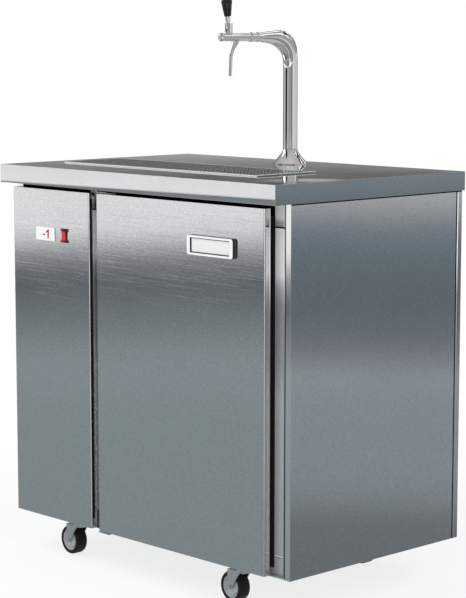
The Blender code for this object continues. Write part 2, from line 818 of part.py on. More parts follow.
def display(cover, x, middle, coats):
    z = (middle - DISPLAY_HEIGHT / 2, middle + DISPLAY_HEIGHT / 2)
    inset = DISPLAY_BODY_INSET
    body_x, body_z = (x[0] + inset, x[1] - inset), (z[0] + inset, z[1] - inset)
    face = FRONT_Y - GAP
    hole = block(
        "cut_display_hole",
        (body_x[0] - GAP, body_x[1] + GAP),
        (FRONT_Y - OVERRUN, FRONT_Y + SHEET + GAP),
        (body_z[0] - GAP, body_z[1] + GAP),
    )
    cut(cover, hole)
    unit = block("temperature_display", x, (face - DISPLAY_PROUD, face), z, coats["white"])
    fuse(unit, block("add_display_body", body_x, (face - GAP, face + DISPLAY_BODY_DEPTH), body_z))


def switch(cover, middle_x, middle_z, coats):
    """A rocker switch whose bezel is wide at both ends and narrow in the middle."""
    half_height = SWITCH_HEIGHT / 2
    half_end = SWITCH_END_WIDTH / 2
    half_waist = SWITCH_WAIST_WIDTH / 2
    shoulder = half_height - SWITCH_END_HEIGHT
    corners = (
        (half_waist, -shoulder),
        (half_waist, shoulder),
        (half_end, shoulder),
        (half_end, half_height),
        (-half_end, half_height),
        (-half_end, shoulder),
        (-half_waist, shoulder),
        (-half_waist, -shoulder),
        (-half_end, -shoulder),
        (-half_end, -half_height),
        (half_end, -half_height),
        (half_end, -shoulder),
    )
    face = FRONT_Y - GAP
    plate = [(middle_x + x, middle_z + z) for x, z in corners]
    bezel = prism("switch_bezel", [plate], "Y", (face - SWITCH_PROUD, face), coats["black"])
    reach = half_height - SWITCH_WALL

    def around(name, half_x, half_z, y):
        x = (middle_x - half_x, middle_x + half_x)
        return block(name, x, y, (middle_z - half_z, middle_z + half_z))

    box_x = half_waist - GAP
    fuse(bezel, around("add_switch_box", box_x, reach, (face - GAP, face + SWITCH_BODY_DEPTH)))
    rocker_x = box_x - SWITCH_WALL - GAP
    half = half_height - ROCKER_MARGIN
    swing = math.hypot(half, ROCKER_DEPTH) + GAP
    hollow = around(
        "cut_switch_hollow",
        box_x - SWITCH_WALL,
        swing,
        (face - SWITCH_PROUD - OVERRUN, face + SWITCH_BODY_DEPTH - SWITCH_WALL),
    )
    cut(bezel, hollow)
    hole_y = (FRONT_Y - OVERRUN, FRONT_Y + SHEET + GAP)
    cut(cover, around("cut_switch_hole", half_waist, reach + GAP, hole_y))
    axis_y = face - SWITCH_PROUD + ROCKER_DEPTH / 2
    axis = pivot("switch_axis", (middle_x, axis_y, middle_z), (ROCKER_TILT, 0, 0))
    lift = half * math.tan(ROCKER_TILT)
    waist = -ROCKER_DEPTH / 2 - ROCKER_PROUD / 2
    outline = (
        (waist, 0),
        (waist - lift, half),
        (ROCKER_DEPTH / 2 - lift, half),
        (ROCKER_DEPTH / 2, 0),
        (ROCKER_DEPTH / 2 - lift, -half),
        (waist - lift, -half),
    )
    carry(axis, prism("switch_rocker", [outline], "X", (-rocker_x, rocker_x), coats["red"]))


def door(coats):
    x, z = (DOOR_LEFT, DOOR_RIGHT), (FRONT_LOW, FRONT_TOP)
    axis = pivot("door_axis", (HINGE_X, HINGE_Y, (z[0] + z[1]) / 2))
    skin = folded_pan("door_skin", x, z, coats["brushed"])
    skin_wall = SHEET + GAP
    liner_y = (RETURN_Y + GAP, RETURN_Y + GAP + SHEET)
    plug_y = FRAME_Y + PLUG_DEPTH
    plug_x = (OPENING_LEFT + PLUG_MARGIN, OPENING_RIGHT - PLUG_MARGIN)
    plug_z = (OPENING_LOW + PLUG_MARGIN, OPENING_TOP - PLUG_MARGIN)

    def frame_of(name, x, y, z, by, coat=None):
        return block(name, (x[0] + by, x[1] - by), y, (z[0] + by, z[1] - by), coat)

    foam = front_slab("door_foam", x, z, skin_wall, coats["foam"])
    plug_foam_y = (HINGE_Y, plug_y - skin_wall)
    fuse(foam, frame_of("add_plug_foam", plug_x, plug_foam_y, plug_z, skin_wall))
    liner = frame_of("door_liner", x, liner_y, z, LINER_INSET, coats["liner"])
    fuse(liner, frame_of("add_door_plug", plug_x, (liner_y[1] - GAP, plug_y), plug_z, 0))
    cut(liner, frame_of("cut_door_plug", plug_x, (liner_y[0] - OVERRUN, plug_y - SHEET), plug_z, SHEET))
    gasket_y = (liner_y[1] + GAP, BREAKER_Y - GAP)
    gasket = frame_of("door_gasket", x, gasket_y, z, GASKET_INSET, coats["black"])
    mouth_y = (gasket_y[0] - OVERRUN, gasket_y[1] + OVERRUN)
    cut(gasket, frame_of("cut_gasket_mouth", x, mouth_y, z, GASKET_INSET + GASKET_WIDTH))
    pins = rod(
        "cut_hinge_holes_low",
        HINGE_PIN_RADIUS + GAP,
        (HINGE_X, HINGE_Y, z[0] - OVERRUN),
        (HINGE_X, HINGE_Y, z[0] + HINGE_PIN_LENGTH + GAP),
    )
    pins_top = rod(
        "cut_hinge_holes_top",
        HINGE_PIN_RADIUS + GAP,
        (HINGE_X, HINGE_Y, z[1] - HINGE_PIN_LENGTH - GAP),
        (HINGE_X, HINGE_Y, z[1] + OVERRUN),
    )
    cut(skin, pins, pins_top)
    cut(foam, pins, pins_top)
    frame_piece, insert = label_plate(coats)
    hang(axis, skin, foam, liner, gasket, frame_piece, insert)
    hinge_brackets(z, coats["steel"])


def hinge_brackets(z, coat):
    """A plate with an upright flange and a pin down into the door, and its opposite below the base."""
    x = (HINGE_X - HINGE_PLATE_BEHIND, HINGE_X + HINGE_PLATE_AHEAD)
    nose = HINGE_Y - HINGE_PLATE_NOSE
    back = FRAME_Y - GAP
    low = z[1] + HINGE_TOP_GAP
    top = block("hinge_bracket_top", x, (nose, back), (low, low + HINGE_PLATE), coat)
    flange_z = (z[1] - HINGE_FLANGE_DROP, low + HINGE_PLATE)
    flange = block("add_hinge_flange", x, (back - HINGE_PLATE, back), flange_z)
    fuse(top, flange)
    start = (HINGE_X, HINGE_Y, z[1] - HINGE_PIN_LENGTH)
    fuse(top, rod("add_hinge_pin_top", HINGE_PIN_RADIUS, start, (HINGE_X, HINGE_Y, low + GAP)))
    plate_top = BODY_LOW - GAP
    bottom = block(
        "hinge_bracket_bottom",
        x,
        (nose, FRAME_Y + HINGE_PLATE_TAIL),
        (plate_top - HINGE_PLATE, plate_top),
        coat,
    )
    end = (HINGE_X, HINGE_Y, z[0] + HINGE_PIN_LENGTH)
    fuse(bottom, rod("add_hinge_pin_low", HINGE_PIN_RADIUS, (HINGE_X, HINGE_Y, plate_top - GAP), end))


def label_plate(coats):
    """A blank plate in a raised frame, on the door's face."""
    middle_x = DOOR_RIGHT - PLATE_FROM_RIGHT - PLATE_WIDTH / 2
    middle_z = FRONT_TOP - PLATE_FROM_TOP - PLATE_HEIGHT / 2
    back = FRONT_Y - GAP
    outer = rounded(PLATE_WIDTH, PLATE_HEIGHT, PLATE_RADIUS, middle_x, middle_z)
    border = prism("label_plate_frame", [outer], "Y", (back - PLATE_DEPTH, back), coats["white"])
    half_x = PLATE_WIDTH / 2 - PLATE_BORDER
    half_z = PLATE_HEIGHT / 2 - PLATE_BORDER / 2
    window = block(
        "cut_plate_window",
        (middle_x - half_x, middle_x + half_x),
        (back - PLATE_DEPTH - OVERRUN, back + OVERRUN),
        (middle_z - half_z, middle_z + half_z),
    )
    cut(border, window)
    insert = block(
        "label_plate_insert",
        (middle_x - half_x + GAP, middle_x + half_x - GAP),
        (back - INSERT_DEPTH, back),
        (middle_z - half_z + GAP, middle_z + half_z - GAP),
        coats["white"],
    )
    return border, insert


def along(outline, share):
    """The point at a share of an outline's length."""
    points = [Vector(point) for point in outline]
    lengths = [(b - a).length for a, b in zip(points, points[1:])]
    left = share * sum(lengths)
    for (start, end), length in zip(zip(points, points[1:]), lengths):
        if left <= length:
            return start.lerp(end, left / length)
        left -= length
    return points[-1]


def quarter(start, end):
    """A quarter of an ellipse that leaves upright and arrives level, as (reach, height) points."""
    points = []
    for step in range(BEND_POINTS + 1):
        angle = math.pi / 2 * step / BEND_POINTS
        points.append(
            (
                end[0] - (end[0] - start[0]) * math.cos(angle),
                start[1] + (end[1] - start[1]) * math.sin(angle),
            )
        )
    return points


def eased(share):
    """The same share, slow at both ends."""
    return share * share * (3 - 2 * share)


def neck_stations():
    """Each section of the neck: its centre, half thickness, direction from throat to back, half width."""
    start = ARM_HEIGHT - THROAT_FALL
    back = [(-COLUMN_RADIUS, start)]
    back += quarter((-COLUMN_RADIUS, ARM_HEIGHT - BACK_FALL), (CROWN_REACH, ARM_HEIGHT + CROWN_RISE))
    back.append((ARM_REACH, ARM_HEIGHT + ARM_RADIUS))
    throat = quarter((COLUMN_RADIUS, start), (ARM_REACH - ARM_STRAIGHT, ARM_HEIGHT - THROAT_DROP))
    throat.append((ARM_REACH, ARM_HEIGHT - ARM_RADIUS))
    stations = []
    for index in range(NECK_STATIONS + 1):
        share = index / NECK_STATIONS
        outer, inner = along(back, share), along(throat, share)
        thick = outer - inner
        width = COLUMN_RADIUS + (ARM_RADIUS - COLUMN_RADIUS) * eased(share)
        stations.append(((outer + inner) / 2, thick.length / 2, thick.normalized(), width))
    return stations


def tower_point(reach, height):
    return Vector((TOWER_X, TOWER_Y - reach, COUNTER_HEIGHT + height))


def tower_ring(centre, direction, half_up, half_across, sides):
    upward = Vector((0, -direction[0], direction[1]))
    return oval(tower_point(*centre), Vector((1, 0, 0)), upward, half_across, half_up, sides)


def level_ring(height, radius, sides):
    """A ring round the column, in the same order as the neck's rings."""
    return tower_ring((0, height), (-1, 0), radius, radius, sides)


def tower(coats):
    stations = neck_stations()
    flange_low, flange_top = GAP, GAP + FLANGE_THICKNESS
    outer = [level_ring(-SHANK_LENGTH, SHANK_RADIUS, ROUND_STEPS)]
    outer.append(level_ring(flange_low, SHANK_RADIUS, ROUND_STEPS))
    outer.append(level_ring(flange_low, FLANGE_RADIUS, ROUND_STEPS))
    for index in range(FLARE_STATIONS + 1):
        share = index / FLARE_STATIONS
        radius = COLUMN_RADIUS + (FLANGE_RADIUS - COLUMN_RADIUS) * (1 - share) ** FLARE_POWER
        outer.append(level_ring(flange_top + (FLARE_HEIGHT - flange_top) * share, radius, ROUND_STEPS))
    bore = [level_ring(-SHANK_LENGTH, TOWER_BORE, ROUND_STEPS)]
    for centre, thick, direction, width in stations:
        outer.append(tower_ring(centre, direction, thick, width, ROUND_STEPS))
        bore.append(tower_ring(centre, direction, TOWER_BORE, TOWER_BORE, ROUND_STEPS))
    lofted("tower_column", outer + bore[::-1], coats["chrome"], closed=True)
    nut_top = -WORKTOP_EDGE + SHEET
    turned(
        "tower_lock_nut",
        (
            (SHANK_RADIUS + GAP, nut_top - NUT_HEIGHT),
            (NUT_RADIUS, nut_top - NUT_HEIGHT),
            (NUT_RADIUS, nut_top),
            (SHANK_RADIUS + GAP, nut_top),
        ),
        tower_point(0, 0),
        coats["brass"],
        ring=True,
    )
    beer_tube(stations, coats["steel"])


def beer_tube(stations, coat):
    """A steel tube from the cold box up through the tower to the tap's spigot."""
    low = CAVITY_TOP - TUBE_TAIL - COUNTER_HEIGHT
    outer = [level_ring(low, TUBE_RADIUS, TUBE_SIDES)]
    bore = [level_ring(low, TUBE_BORE, TUBE_SIDES)]
    last = ARM_REACH - SPIGOT_LENGTH - GAP
    for centre, _, direction, _ in stations:
        if centre[0] < last:
            outer.append(tower_ring(centre, direction, TUBE_RADIUS, TUBE_RADIUS, TUBE_SIDES))
            bore.append(tower_ring(centre, direction, TUBE_BORE, TUBE_BORE, TUBE_SIDES))
    outer.append(tower_ring((last, ARM_HEIGHT), (0, 1), TUBE_RADIUS, TUBE_RADIUS, TUBE_SIDES))
    bore.append(tower_ring((last, ARM_HEIGHT), (0, 1), TUBE_BORE, TUBE_BORE, TUBE_SIDES))
    lofted("beer_tube", outer + bore[::-1], coat, closed=True)


def tap(coats):
    chrome = coats["chrome"]
    forward = (0, -1, 0)
    arm_end = tower_point(ARM_REACH, ARM_HEIGHT)
    bore = SPIGOT_RADIUS + GAP
    nut = (
        (bore, GAP),
        (NUT_OUTER, GAP),
        (NUT_OUTER, NUT_RIDGE),
        (NUT_WAIST, NUT_RIDGE),
        (NUT_WAIST, NUT_LENGTH - NUT_RIDGE),
        (NUT_OUTER, NUT_LENGTH - NUT_RIDGE),
        (NUT_OUTER, NUT_LENGTH - NUT_CHAMFER),
        (NUT_WAIST, NUT_LENGTH),
        (bore, NUT_LENGTH),
    )
    turned("tap_coupling_nut", nut, arm_end, chrome, towards=forward, ring=True)
    start, end = NUT_LENGTH + GAP, NUT_LENGTH + GAP + BODY_LENGTH
    body = turned(
        "tap_body",
        (
            (0, -SPIGOT_LENGTH),
            (SPIGOT_RADIUS, -SPIGOT_LENGTH),
            (SPIGOT_RADIUS, start),
            (BODY_RADIUS, start),
            (BODY_RADIUS, end),
            (0, end),
        ),
        arm_end,
        chrome,
        towards=forward,
    )
    lever_foot = tower_point(ARM_REACH + LEVER_FROM_ARM, ARM_HEIGHT)
    spout_root = tower_point(ARM_REACH + SPOUT_FROM_ARM, ARM_HEIGHT)
    boss = Vector((0, 0, BOSS_HEIGHT))
    fuse(body, rod("add_lever_boss", BOSS_RADIUS, lever_foot, lever_foot + boss, steps=ROUND_STEPS))
    fuse(body, rod("add_spout_boss", BOSS_RADIUS, spout_root, spout_root - boss, steps=ROUND_STEPS))
    cap_start = end + GAP
    turned(
        "tap_nose_cap",
        (
            (0, cap_start),
            (CAP_RADIUS, cap_start),
            (CAP_RADIUS, cap_start + CAP_LENGTH / 2),
            (BODY_RADIUS * CAP_DOME_SHARE, cap_start + CAP_LENGTH),
            (0, cap_start + CAP_LENGTH),
        ),
        arm_end,
        chrome,
        towards=forward,
    )
    tap_spout(spout_root - boss, chrome)
    tap_lever(lever_foot + boss, coats)


def tap_spout(root, coat):
    """A flared horn that leans forward and runs down into a narrow tube."""
    outer, bore = [], []
    for drop, lean, flare in SPOUT_SHARES:
        centre = root + Vector((0, -SPOUT_LEAN * lean, -GAP - SPOUT_DROP * drop))
        radius = SPOUT_RADIUS + (BOSS_RADIUS - SPOUT_RADIUS) * flare
        across, upward = Vector((1, 0, 0)), Vector((0, 1, 0))
        outer.append(oval(centre, across, upward, radius, radius, SMALL_STEPS))
        bore.append(oval(centre, across, upward, SPOUT_BORE, SPOUT_BORE, SMALL_STEPS))
    lofted("tap_spout", outer + bore[::-1], coat, closed=True)


def tap_lever(seat, coats):
    """A slotted bonnet that holds the lever's ball, and the lever with its knob."""
    ball = BONNET_INNER - GAP
    pivot_at = seat + Vector((0, 0, GAP + ball))
    profile = (
        (BONNET_INNER, GAP),
        (BONNET_OUTER, GAP),
        (BONNET_OUTER, BONNET_HEIGHT),
        (BONNET_INNER, BONNET_HEIGHT),
    )
    bonnet = turned("tap_bonnet", profile, seat, coats["chrome"], ring=True)
    half_slot = STEM_RADIUS + STEM_SLACK
    slot = block(
        "cut_lever_slot",
        (seat.x - half_slot, seat.x + half_slot),
        (seat.y - BONNET_OUTER - OVERRUN, seat.y + BONNET_OUTER + OVERRUN),
        (pivot_at.z + BONNET_FOOT, seat.z + BONNET_HEIGHT + OVERRUN),
    )
    cut(bonnet, slot)
    axis = pivot("lever_axis", pivot_at, (LEVER_LEAN, 0, 0))
    rounds = [math.radians(angle) for angle in BALL_ANGLES]
    stem = [(ball * math.cos(angle), ball * math.sin(angle)) for angle in rounds]
    stem[0] = (0, -ball)
    stem += [
        (STEM_RADIUS, math.sqrt(ball**2 - STEM_RADIUS**2)),
        (STEM_RADIUS, COLLAR_START),
        (COLLAR_RADIUS, COLLAR_START),
        (COLLAR_RADIUS, KNOB_START - GAP),
        (0, KNOB_START - GAP),
    ]
    lever = turned("tap_lever", stem, (0, 0, 0), coats["chrome"], SMALL_STEPS)
    knob = [(0, 0), (KNOB_FOOT_RADIUS, 0), (KNOB_RADIUS, KNOB_SHOULDER)]
    for share in KNOB_DOME_SHARES:
        height = KNOB_SHOULDER + (KNOB_HEIGHT - KNOB_SHOULDER) * share
        knob.append((KNOB_RADIUS * math.sqrt(1 - share**2), height))
    knob.append((0, KNOB_HEIGHT))
    handle = turned("tap_handle", knob, (0, 0, KNOB_START), coats["black"])
    carry(axis, lever, handle)


def caster(name, at, coats):
    """A swivel caster. The fork and the wheel are modelled about the swivel axis, at floor level."""
    x, y = at
    swivel = pivot(name + "_swivel", (x, y, 0), (0, 0, CASTER_REST_TURN))
    plate_top = BODY_LOW - GAP
    plate_low = plate_top - MOUNT_PLATE
    race_low = plate_low - MOUNT_RACE_HEIGHT
    mount = block(
        name + "_mount",
        (x - MOUNT_LENGTH / 2, x + MOUNT_LENGTH / 2),
        (y - MOUNT_WIDTH / 2, y + MOUNT_WIDTH / 2),
        (plate_low, plate_top),
        coats["zinc"],
    )
    head_top = CROWN_LOW - GAP
    head_low = head_top - KINGPIN_HEAD_HEIGHT
    kingpin = (
        (0, head_low),
        (KINGPIN_HEAD, head_low),
        (KINGPIN_HEAD, head_top),
        (KINGPIN_RADIUS, head_top),
        (KINGPIN_RADIUS, race_low),
        (MOUNT_RACE_RADIUS, race_low),
        (MOUNT_RACE_RADIUS, plate_low + GAP),
        (0, plate_low + GAP),
    )
    fuse(mount, turned("add_" + name + "_kingpin", kingpin, (x, y, 0), steps=SMALL_STEPS))
    caster_fork(name, race_low - GAP, swivel, coats["zinc"])
    axle = (-WHEEL_TRAIL, 0, WHEEL_RADIUS)
    spin = pivot(name + "_spin", axle)
    spin.parent = swivel
    tyre_in = WHEEL_RADIUS - TYRE_DEPTH
    half_tyre = TYRE_WIDTH / 2
    half_hub = half_tyre - HUB_SETBACK
    rim = tyre_in - GAP
    hub = turned(
        name + "_hub",
        (
            (AXLE_RADIUS + GAP, -half_hub + HUB_STEP / 2),
            (HUB_DISC, -half_hub + HUB_STEP / 2),
            (HUB_DISC + HUB_STEP, -half_hub + 2 * HUB_STEP),
            (rim - HUB_STEP / 2, -half_hub),
            (rim, -half_hub),
            (rim, half_hub),
            (rim - HUB_STEP / 2, half_hub),
            (HUB_DISC + HUB_STEP, half_hub - 2 * HUB_STEP),
            (HUB_DISC, half_hub - HUB_STEP / 2),
            (AXLE_RADIUS + GAP, half_hub - HUB_STEP / 2),
        ),
        (0, 0, 0),
        coats["hub"],
        towards=(0, 1, 0),
        ring=True,
    )
    tread = TYRE_SHOULDER * TREAD_SHARE
    tyre = turned(
        name + "_tyre",
        (
            (tyre_in, -half_tyre),
            (WHEEL_RADIUS - TYRE_SHOULDER, -half_tyre),
            (WHEEL_RADIUS - tread, tread - half_tyre),
            (WHEEL_RADIUS, TYRE_SHOULDER - half_tyre),
            (WHEEL_RADIUS, half_tyre - TYRE_SHOULDER),
            (WHEEL_RADIUS - tread, half_tyre - tread),
            (WHEEL_RADIUS - TYRE_SHOULDER, half_tyre),
            (tyre_in, half_tyre),
        ),
        (0, 0, 0),
        coats["rubber"],
        towards=(0, 1, 0),
        ring=True,
    )
    carry(spin, hub, tyre)


def caster_fork(name, race_top, swivel, coat):
    """A crown with a bearing race, two raked legs and the axle between them."""
    leg_in = TYRE_WIDTH / 2 + FORK_SLACK
    leg_out = leg_in + FORK_SHEET
    tail = -WHEEL_TRAIL - LEG_TIP
    crown = block(
        name + "_fork",
        (tail, CROWN_NOSE),
        (-leg_out, leg_out),
        (CROWN_LOW, CROWN_LOW + FORK_SHEET),
        coat,
    )
    tools = []
    race = ((0, CROWN_LOW), (FORK_RACE_RADIUS, CROWN_LOW), (FORK_RACE_RADIUS, race_top), (0, race_top))
    tools.append(turned("add_" + name + "_race", race, (0, 0, 0), steps=SMALL_STEPS))
    turns = [math.radians(angle) for angle in LEG_TIP_ANGLES]
    tip = []
    for turn in turns:
        tip.append((LEG_TIP * math.cos(turn) - WHEEL_TRAIL, WHEEL_RADIUS + LEG_TIP * math.sin(turn)))
    leg_top = CROWN_LOW + FORK_SHEET / 2
    outline = [(tail, leg_top), *tip, (LEG_NOSE, leg_top)]
    for side, label in ((-1, "front"), (1, "rear")):
        span = sorted((side * leg_in, side * leg_out))
        tools.append(prism("add_" + name + "_leg_" + label, [outline], "Y", span))
    bar = leg_out + AXLE_HEAD_HEIGHT
    head = leg_out - GAP
    axle = (
        (0, -bar),
        (AXLE_HEAD, -bar),
        (AXLE_HEAD, -head),
        (AXLE_RADIUS, -head),
        (AXLE_RADIUS, head),
        (AXLE_HEAD, head),
        (AXLE_HEAD, bar),
        (0, bar),
    )
    at = (-WHEEL_TRAIL, 0, WHEEL_RADIUS)
    tools.append(turned("add_" + name + "_axle", axle, at, steps=SMALL_STEPS, towards=(0, 1, 0)))
    fuse(crown, *tools)
    hole = rod(
        "cut_" + name + "_kingpin",
        KINGPIN_RADIUS + GAP,
        (0, 0, CROWN_LOW - OVERRUN),
        (0, 0, race_top + OVERRUN),
    )
    cut(crown, hole)
    carry(swivel, crown, hole, *tools)


def casters(coats):
    front = (BODY_X - CASTER_FRONT_SIDE_INSET, SIDE_Y + CASTER_FRONT_INSET)
    rear = (BODY_X - CASTER_REAR_SIDE_INSET, BODY_BACK - CASTER_REAR_INSET)
    for row, (x, y) in (("front", front), ("rear", rear)):
        caster("caster_" + row + "_left", (-x, y), coats)
        caster("caster_" + row + "_right", (x, y), coats)


def fan_blade(index, centre, coat=None):
    """One flat blade, pitched about its own length."""
    bm = bmesh.new()
    bmesh.ops.create_cube(bm, size=1)
    start = FAN_HUB * FAN_ROOT_SHARE
    size = (FAN_RADIUS - start, FAN_BLADE_THICKNESS, FAN_BLADE_WIDTH)
    bmesh.ops.scale(bm, verts=bm.verts, vec=size)
    bmesh.ops.translate(bm, verts=bm.verts, vec=((FAN_RADIUS + start) / 2, 0, 0))
    bmesh.ops.rotate(bm, verts=bm.verts, cent=(0, 0, 0), matrix=Matrix.Rotation(FAN_PITCH, 3, "X"))
    bmesh.ops.rotate(
        bm, verts=bm.verts, cent=(0, 0, 0), matrix=Matrix.Rotation(math.tau * index / FAN_BLADES, 3, "Y")
    )
    return new_object("add_fan_blade_%d" % index, bm, coat, centre)


def cooling(coats):
    bay = (PARTITION_X - SHEET - BODY_X) / 2
    floor = FLOOR_TOP
    front = FRAME_BACK + CONDENSER_SETBACK
    back = front + CONDENSER_DEPTH
    middle = floor + CONDENSER_HEIGHT / 2
    x = (bay - CONDENSER_WIDTH / 2, bay + CONDENSER_WIDTH / 2)
    condenser = block("condenser", x, (front, back), (floor, floor + CONDENSER_HEIGHT), coats["aluminium"])
    pitch = CONDENSER_WIDTH / (CONDENSER_FINS + 1)
    z_low, z_high = floor + FIN_SLOT, floor + CONDENSER_HEIGHT - FIN_SLOT
    slots = []
    for index in range(CONDENSER_FINS):
        left = x[0] + pitch * (index + 1) - FIN_SLOT / 2
        slots.append(((left, z_low), (left + FIN_SLOT, z_low), (left + FIN_SLOT, z_high), (left, z_high)))
    cut(condenser, prism("cut_condenser_fins", slots, "Y", (front - OVERRUN, front + FIN_SLOT_DEPTH)))
    shroud_y = (back + GAP, back + GAP + SHROUD_DEPTH)
    shroud = block("fan_shroud", x, shroud_y, (floor, floor + CONDENSER_HEIGHT), coats["black"])
    hole = rod(
        "cut_shroud_hole",
        FAN_RADIUS + FAN_TIP_GAP,
        (bay, shroud_y[0] - OVERRUN, middle),
        (bay, shroud_y[1] + OVERRUN, middle),
        steps=ROUND_STEPS,
    )
    cut(shroud, hole)
    motor_y = shroud_y[1]
    arm = MOTOR_ARM / 2
    arm_y = (motor_y - GAP, motor_y + MOTOR_ARM)
    shaft_tip = motor_y - FAN_HUB_LENGTH
    fuse(
        shroud,
        block("add_motor_arm", x, arm_y, (middle - arm, middle + arm)),
        block("add_motor_post", (bay - arm, bay + arm), arm_y, (floor, floor + CONDENSER_HEIGHT)),
        rod("add_motor", MOTOR_RADIUS, (bay, motor_y, middle), (bay, motor_y + MOTOR_LENGTH, middle)),
        rod("add_motor_shaft", MOTOR_SHAFT, (bay, shaft_tip, middle), (bay, motor_y + MOTOR_ARM, middle)),
    )
    hub_y = motor_y - MOTOR_STANDOFF
    axis = pivot("fan_axis", (bay, hub_y - FAN_HUB_LENGTH / 2, middle))
    centre = axis.location
    fan = rod(
        "condenser_fan",
        FAN_HUB,
        (bay, hub_y - FAN_HUB_LENGTH, middle),
        (bay, hub_y, middle),
        coats["black"],
        steps=ROUND_STEPS,
    )
    fuse(fan, *[fan_blade(index, centre) for index in range(FAN_BLADES)])
    shaft_hole = rod(
        "cut_fan_bore",
        MOTOR_SHAFT + GAP,
        (bay, shaft_tip - GAP, middle),
        (bay, motor_y + OVERRUN, middle),
    )
    cut(fan, shaft_hole)
    hang(axis, fan)
    compressor(bay, coats["black"])
    evaporator(coats["aluminium"])


def compressor(bay, coat):
    """A welded steel can on a foot plate."""
    y = BODY_BACK - COMPRESSOR_FROM_BACK
    half = COMPRESSOR_FOOT_SIZE / 2
    foot_z = (FLOOR_TOP, FLOOR_TOP + COMPRESSOR_FOOT)
    foot = block("compressor", (bay - half, bay + half), (y - half, y + half), foot_z, coat)
    profile = [(0, 0)]
    profile += [(COMPRESSOR_RADIUS * wide, COMPRESSOR_HEIGHT * high) for wide, high in COMPRESSOR_SHARES]
    profile.append((0, COMPRESSOR_HEIGHT))
    fuse(foot, turned("add_compressor_can", profile, (bay, y, FLOOR_TOP + COMPRESSOR_FOOT / 2)))


def evaporator(coat):
    """A finned block with slots in its front, under the cold box ceiling."""
    right = CAVITY_RIGHT - GAP - LINER - EVAPORATOR_FROM_RIGHT
    y = (FRAME_BACK + EVAPORATOR_FROM_FRONT, CAVITY_BACK - EVAPORATOR_FROM_BACK)
    top = OPENING_TOP - GAP
    z = (top - EVAPORATOR_HEIGHT, top)
    x = (right - EVAPORATOR_WIDTH, right)
    unit = block("evaporator", x, y, z, coat)
    pitch = EVAPORATOR_WIDTH / (EVAPORATOR_SLOTS + 1)
    slots = []
    for index in range(EVAPORATOR_SLOTS):
        left = x[0] + pitch * (index + 1) - FIN_SLOT
        low, high = z[0] + FIN_SLOT, z[1] - FIN_SLOT
        slots.append(((left, low), (left + 2 * FIN_SLOT, low), (left + 2 * FIN_SLOT, high), (left, high)))
    cut(unit, prism("cut_evaporator_slots", slots, "Y", (y[0] - OVERRUN, y[0] + FIN_SLOT_DEPTH)))


def materials():
    return {
        "steel": material("brushed stainless", (0.5, 0.51, 0.52), 0.3, 1.0),
        "brushed": material("brushed stainless front", (0.6, 0.61, 0.62), 0.34, 1.0),
        "chrome": material("chrome", (0.8, 0.8, 0.79), 0.06, 1.0),
        "zinc": material("zinc plated steel", (0.55, 0.57, 0.59), 0.35, 1.0),
        "brass": material("brass", (0.72, 0.56, 0.28), 0.3, 1.0),
        "aluminium": material("aluminium", (0.7, 0.71, 0.72), 0.45, 1.0),
        "board": material("worktop board", (0.45, 0.36, 0.26), 0.8),
        "foam": material("insulating foam", (0.85, 0.8, 0.6), 0.9),
        "liner": material("white liner", (0.85, 0.86, 0.86), 0.4),
        "white": material("white plastic", (0.9, 0.9, 0.9), 0.35),
        "red": material("red switch", (0.75, 0.05, 0.05), 0.3),
        "black": material("black plastic", (0.015, 0.015, 0.016), 0.4),
        "hub": material("grey hub", (0.5, 0.52, 0.55), 0.4),
        "rubber": material("black tyre", (0.02, 0.02, 0.02), 0.75),
    }


def main():
    for old in list(bpy.data.objects):
        bpy.data.objects.remove(old, do_unlink=True)
    coats = materials()
    worktop(coats)
    drip_tray(coats)
    side_panel("side_panel_left", -1, coats["steel"])
    side_panel("side_panel_right", 1, coats["steel"])
    back_panel(coats)
    frame(coats)
    cold_box(coats)
    machine_cover(coats)
    door(coats)
    tower(coats)
    tap(coats)
    cooling(coats)
    casters(coats)


main()
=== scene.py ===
"""Looks of a keg counter on casters: brushed steel, a chromed tap tower, small pieces among them painted
highlights and painted shadows, floor, lights and camera.
"""

import math

import bmesh
import bpy
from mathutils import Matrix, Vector


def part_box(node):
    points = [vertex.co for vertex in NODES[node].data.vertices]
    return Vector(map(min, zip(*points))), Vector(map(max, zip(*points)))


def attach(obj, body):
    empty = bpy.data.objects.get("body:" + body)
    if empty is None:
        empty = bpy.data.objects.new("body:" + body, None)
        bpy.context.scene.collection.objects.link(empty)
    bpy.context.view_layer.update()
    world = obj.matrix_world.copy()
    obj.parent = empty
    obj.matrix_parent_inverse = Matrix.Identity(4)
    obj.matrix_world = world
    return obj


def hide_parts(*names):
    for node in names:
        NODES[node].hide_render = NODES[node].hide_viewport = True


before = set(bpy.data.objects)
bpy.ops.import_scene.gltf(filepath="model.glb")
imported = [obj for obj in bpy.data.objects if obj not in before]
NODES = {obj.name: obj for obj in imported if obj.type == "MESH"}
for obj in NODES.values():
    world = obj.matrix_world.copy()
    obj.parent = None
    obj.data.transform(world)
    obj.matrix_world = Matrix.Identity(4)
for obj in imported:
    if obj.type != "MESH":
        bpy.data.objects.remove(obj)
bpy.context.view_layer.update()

MM = 0.001
WHITE = (1.0, 1.0, 1.0, 1.0)

# The camera, worked out from the edges of the worktop, the door and the side
CAMERA_PLACE = (3.56675, -3.37538, 1.33639)
CAMERA_TURN = (1.43771, 0.0, 0.80955)
CAMERA_LENS = 118.47
CAMERA_SENSOR = 36.0

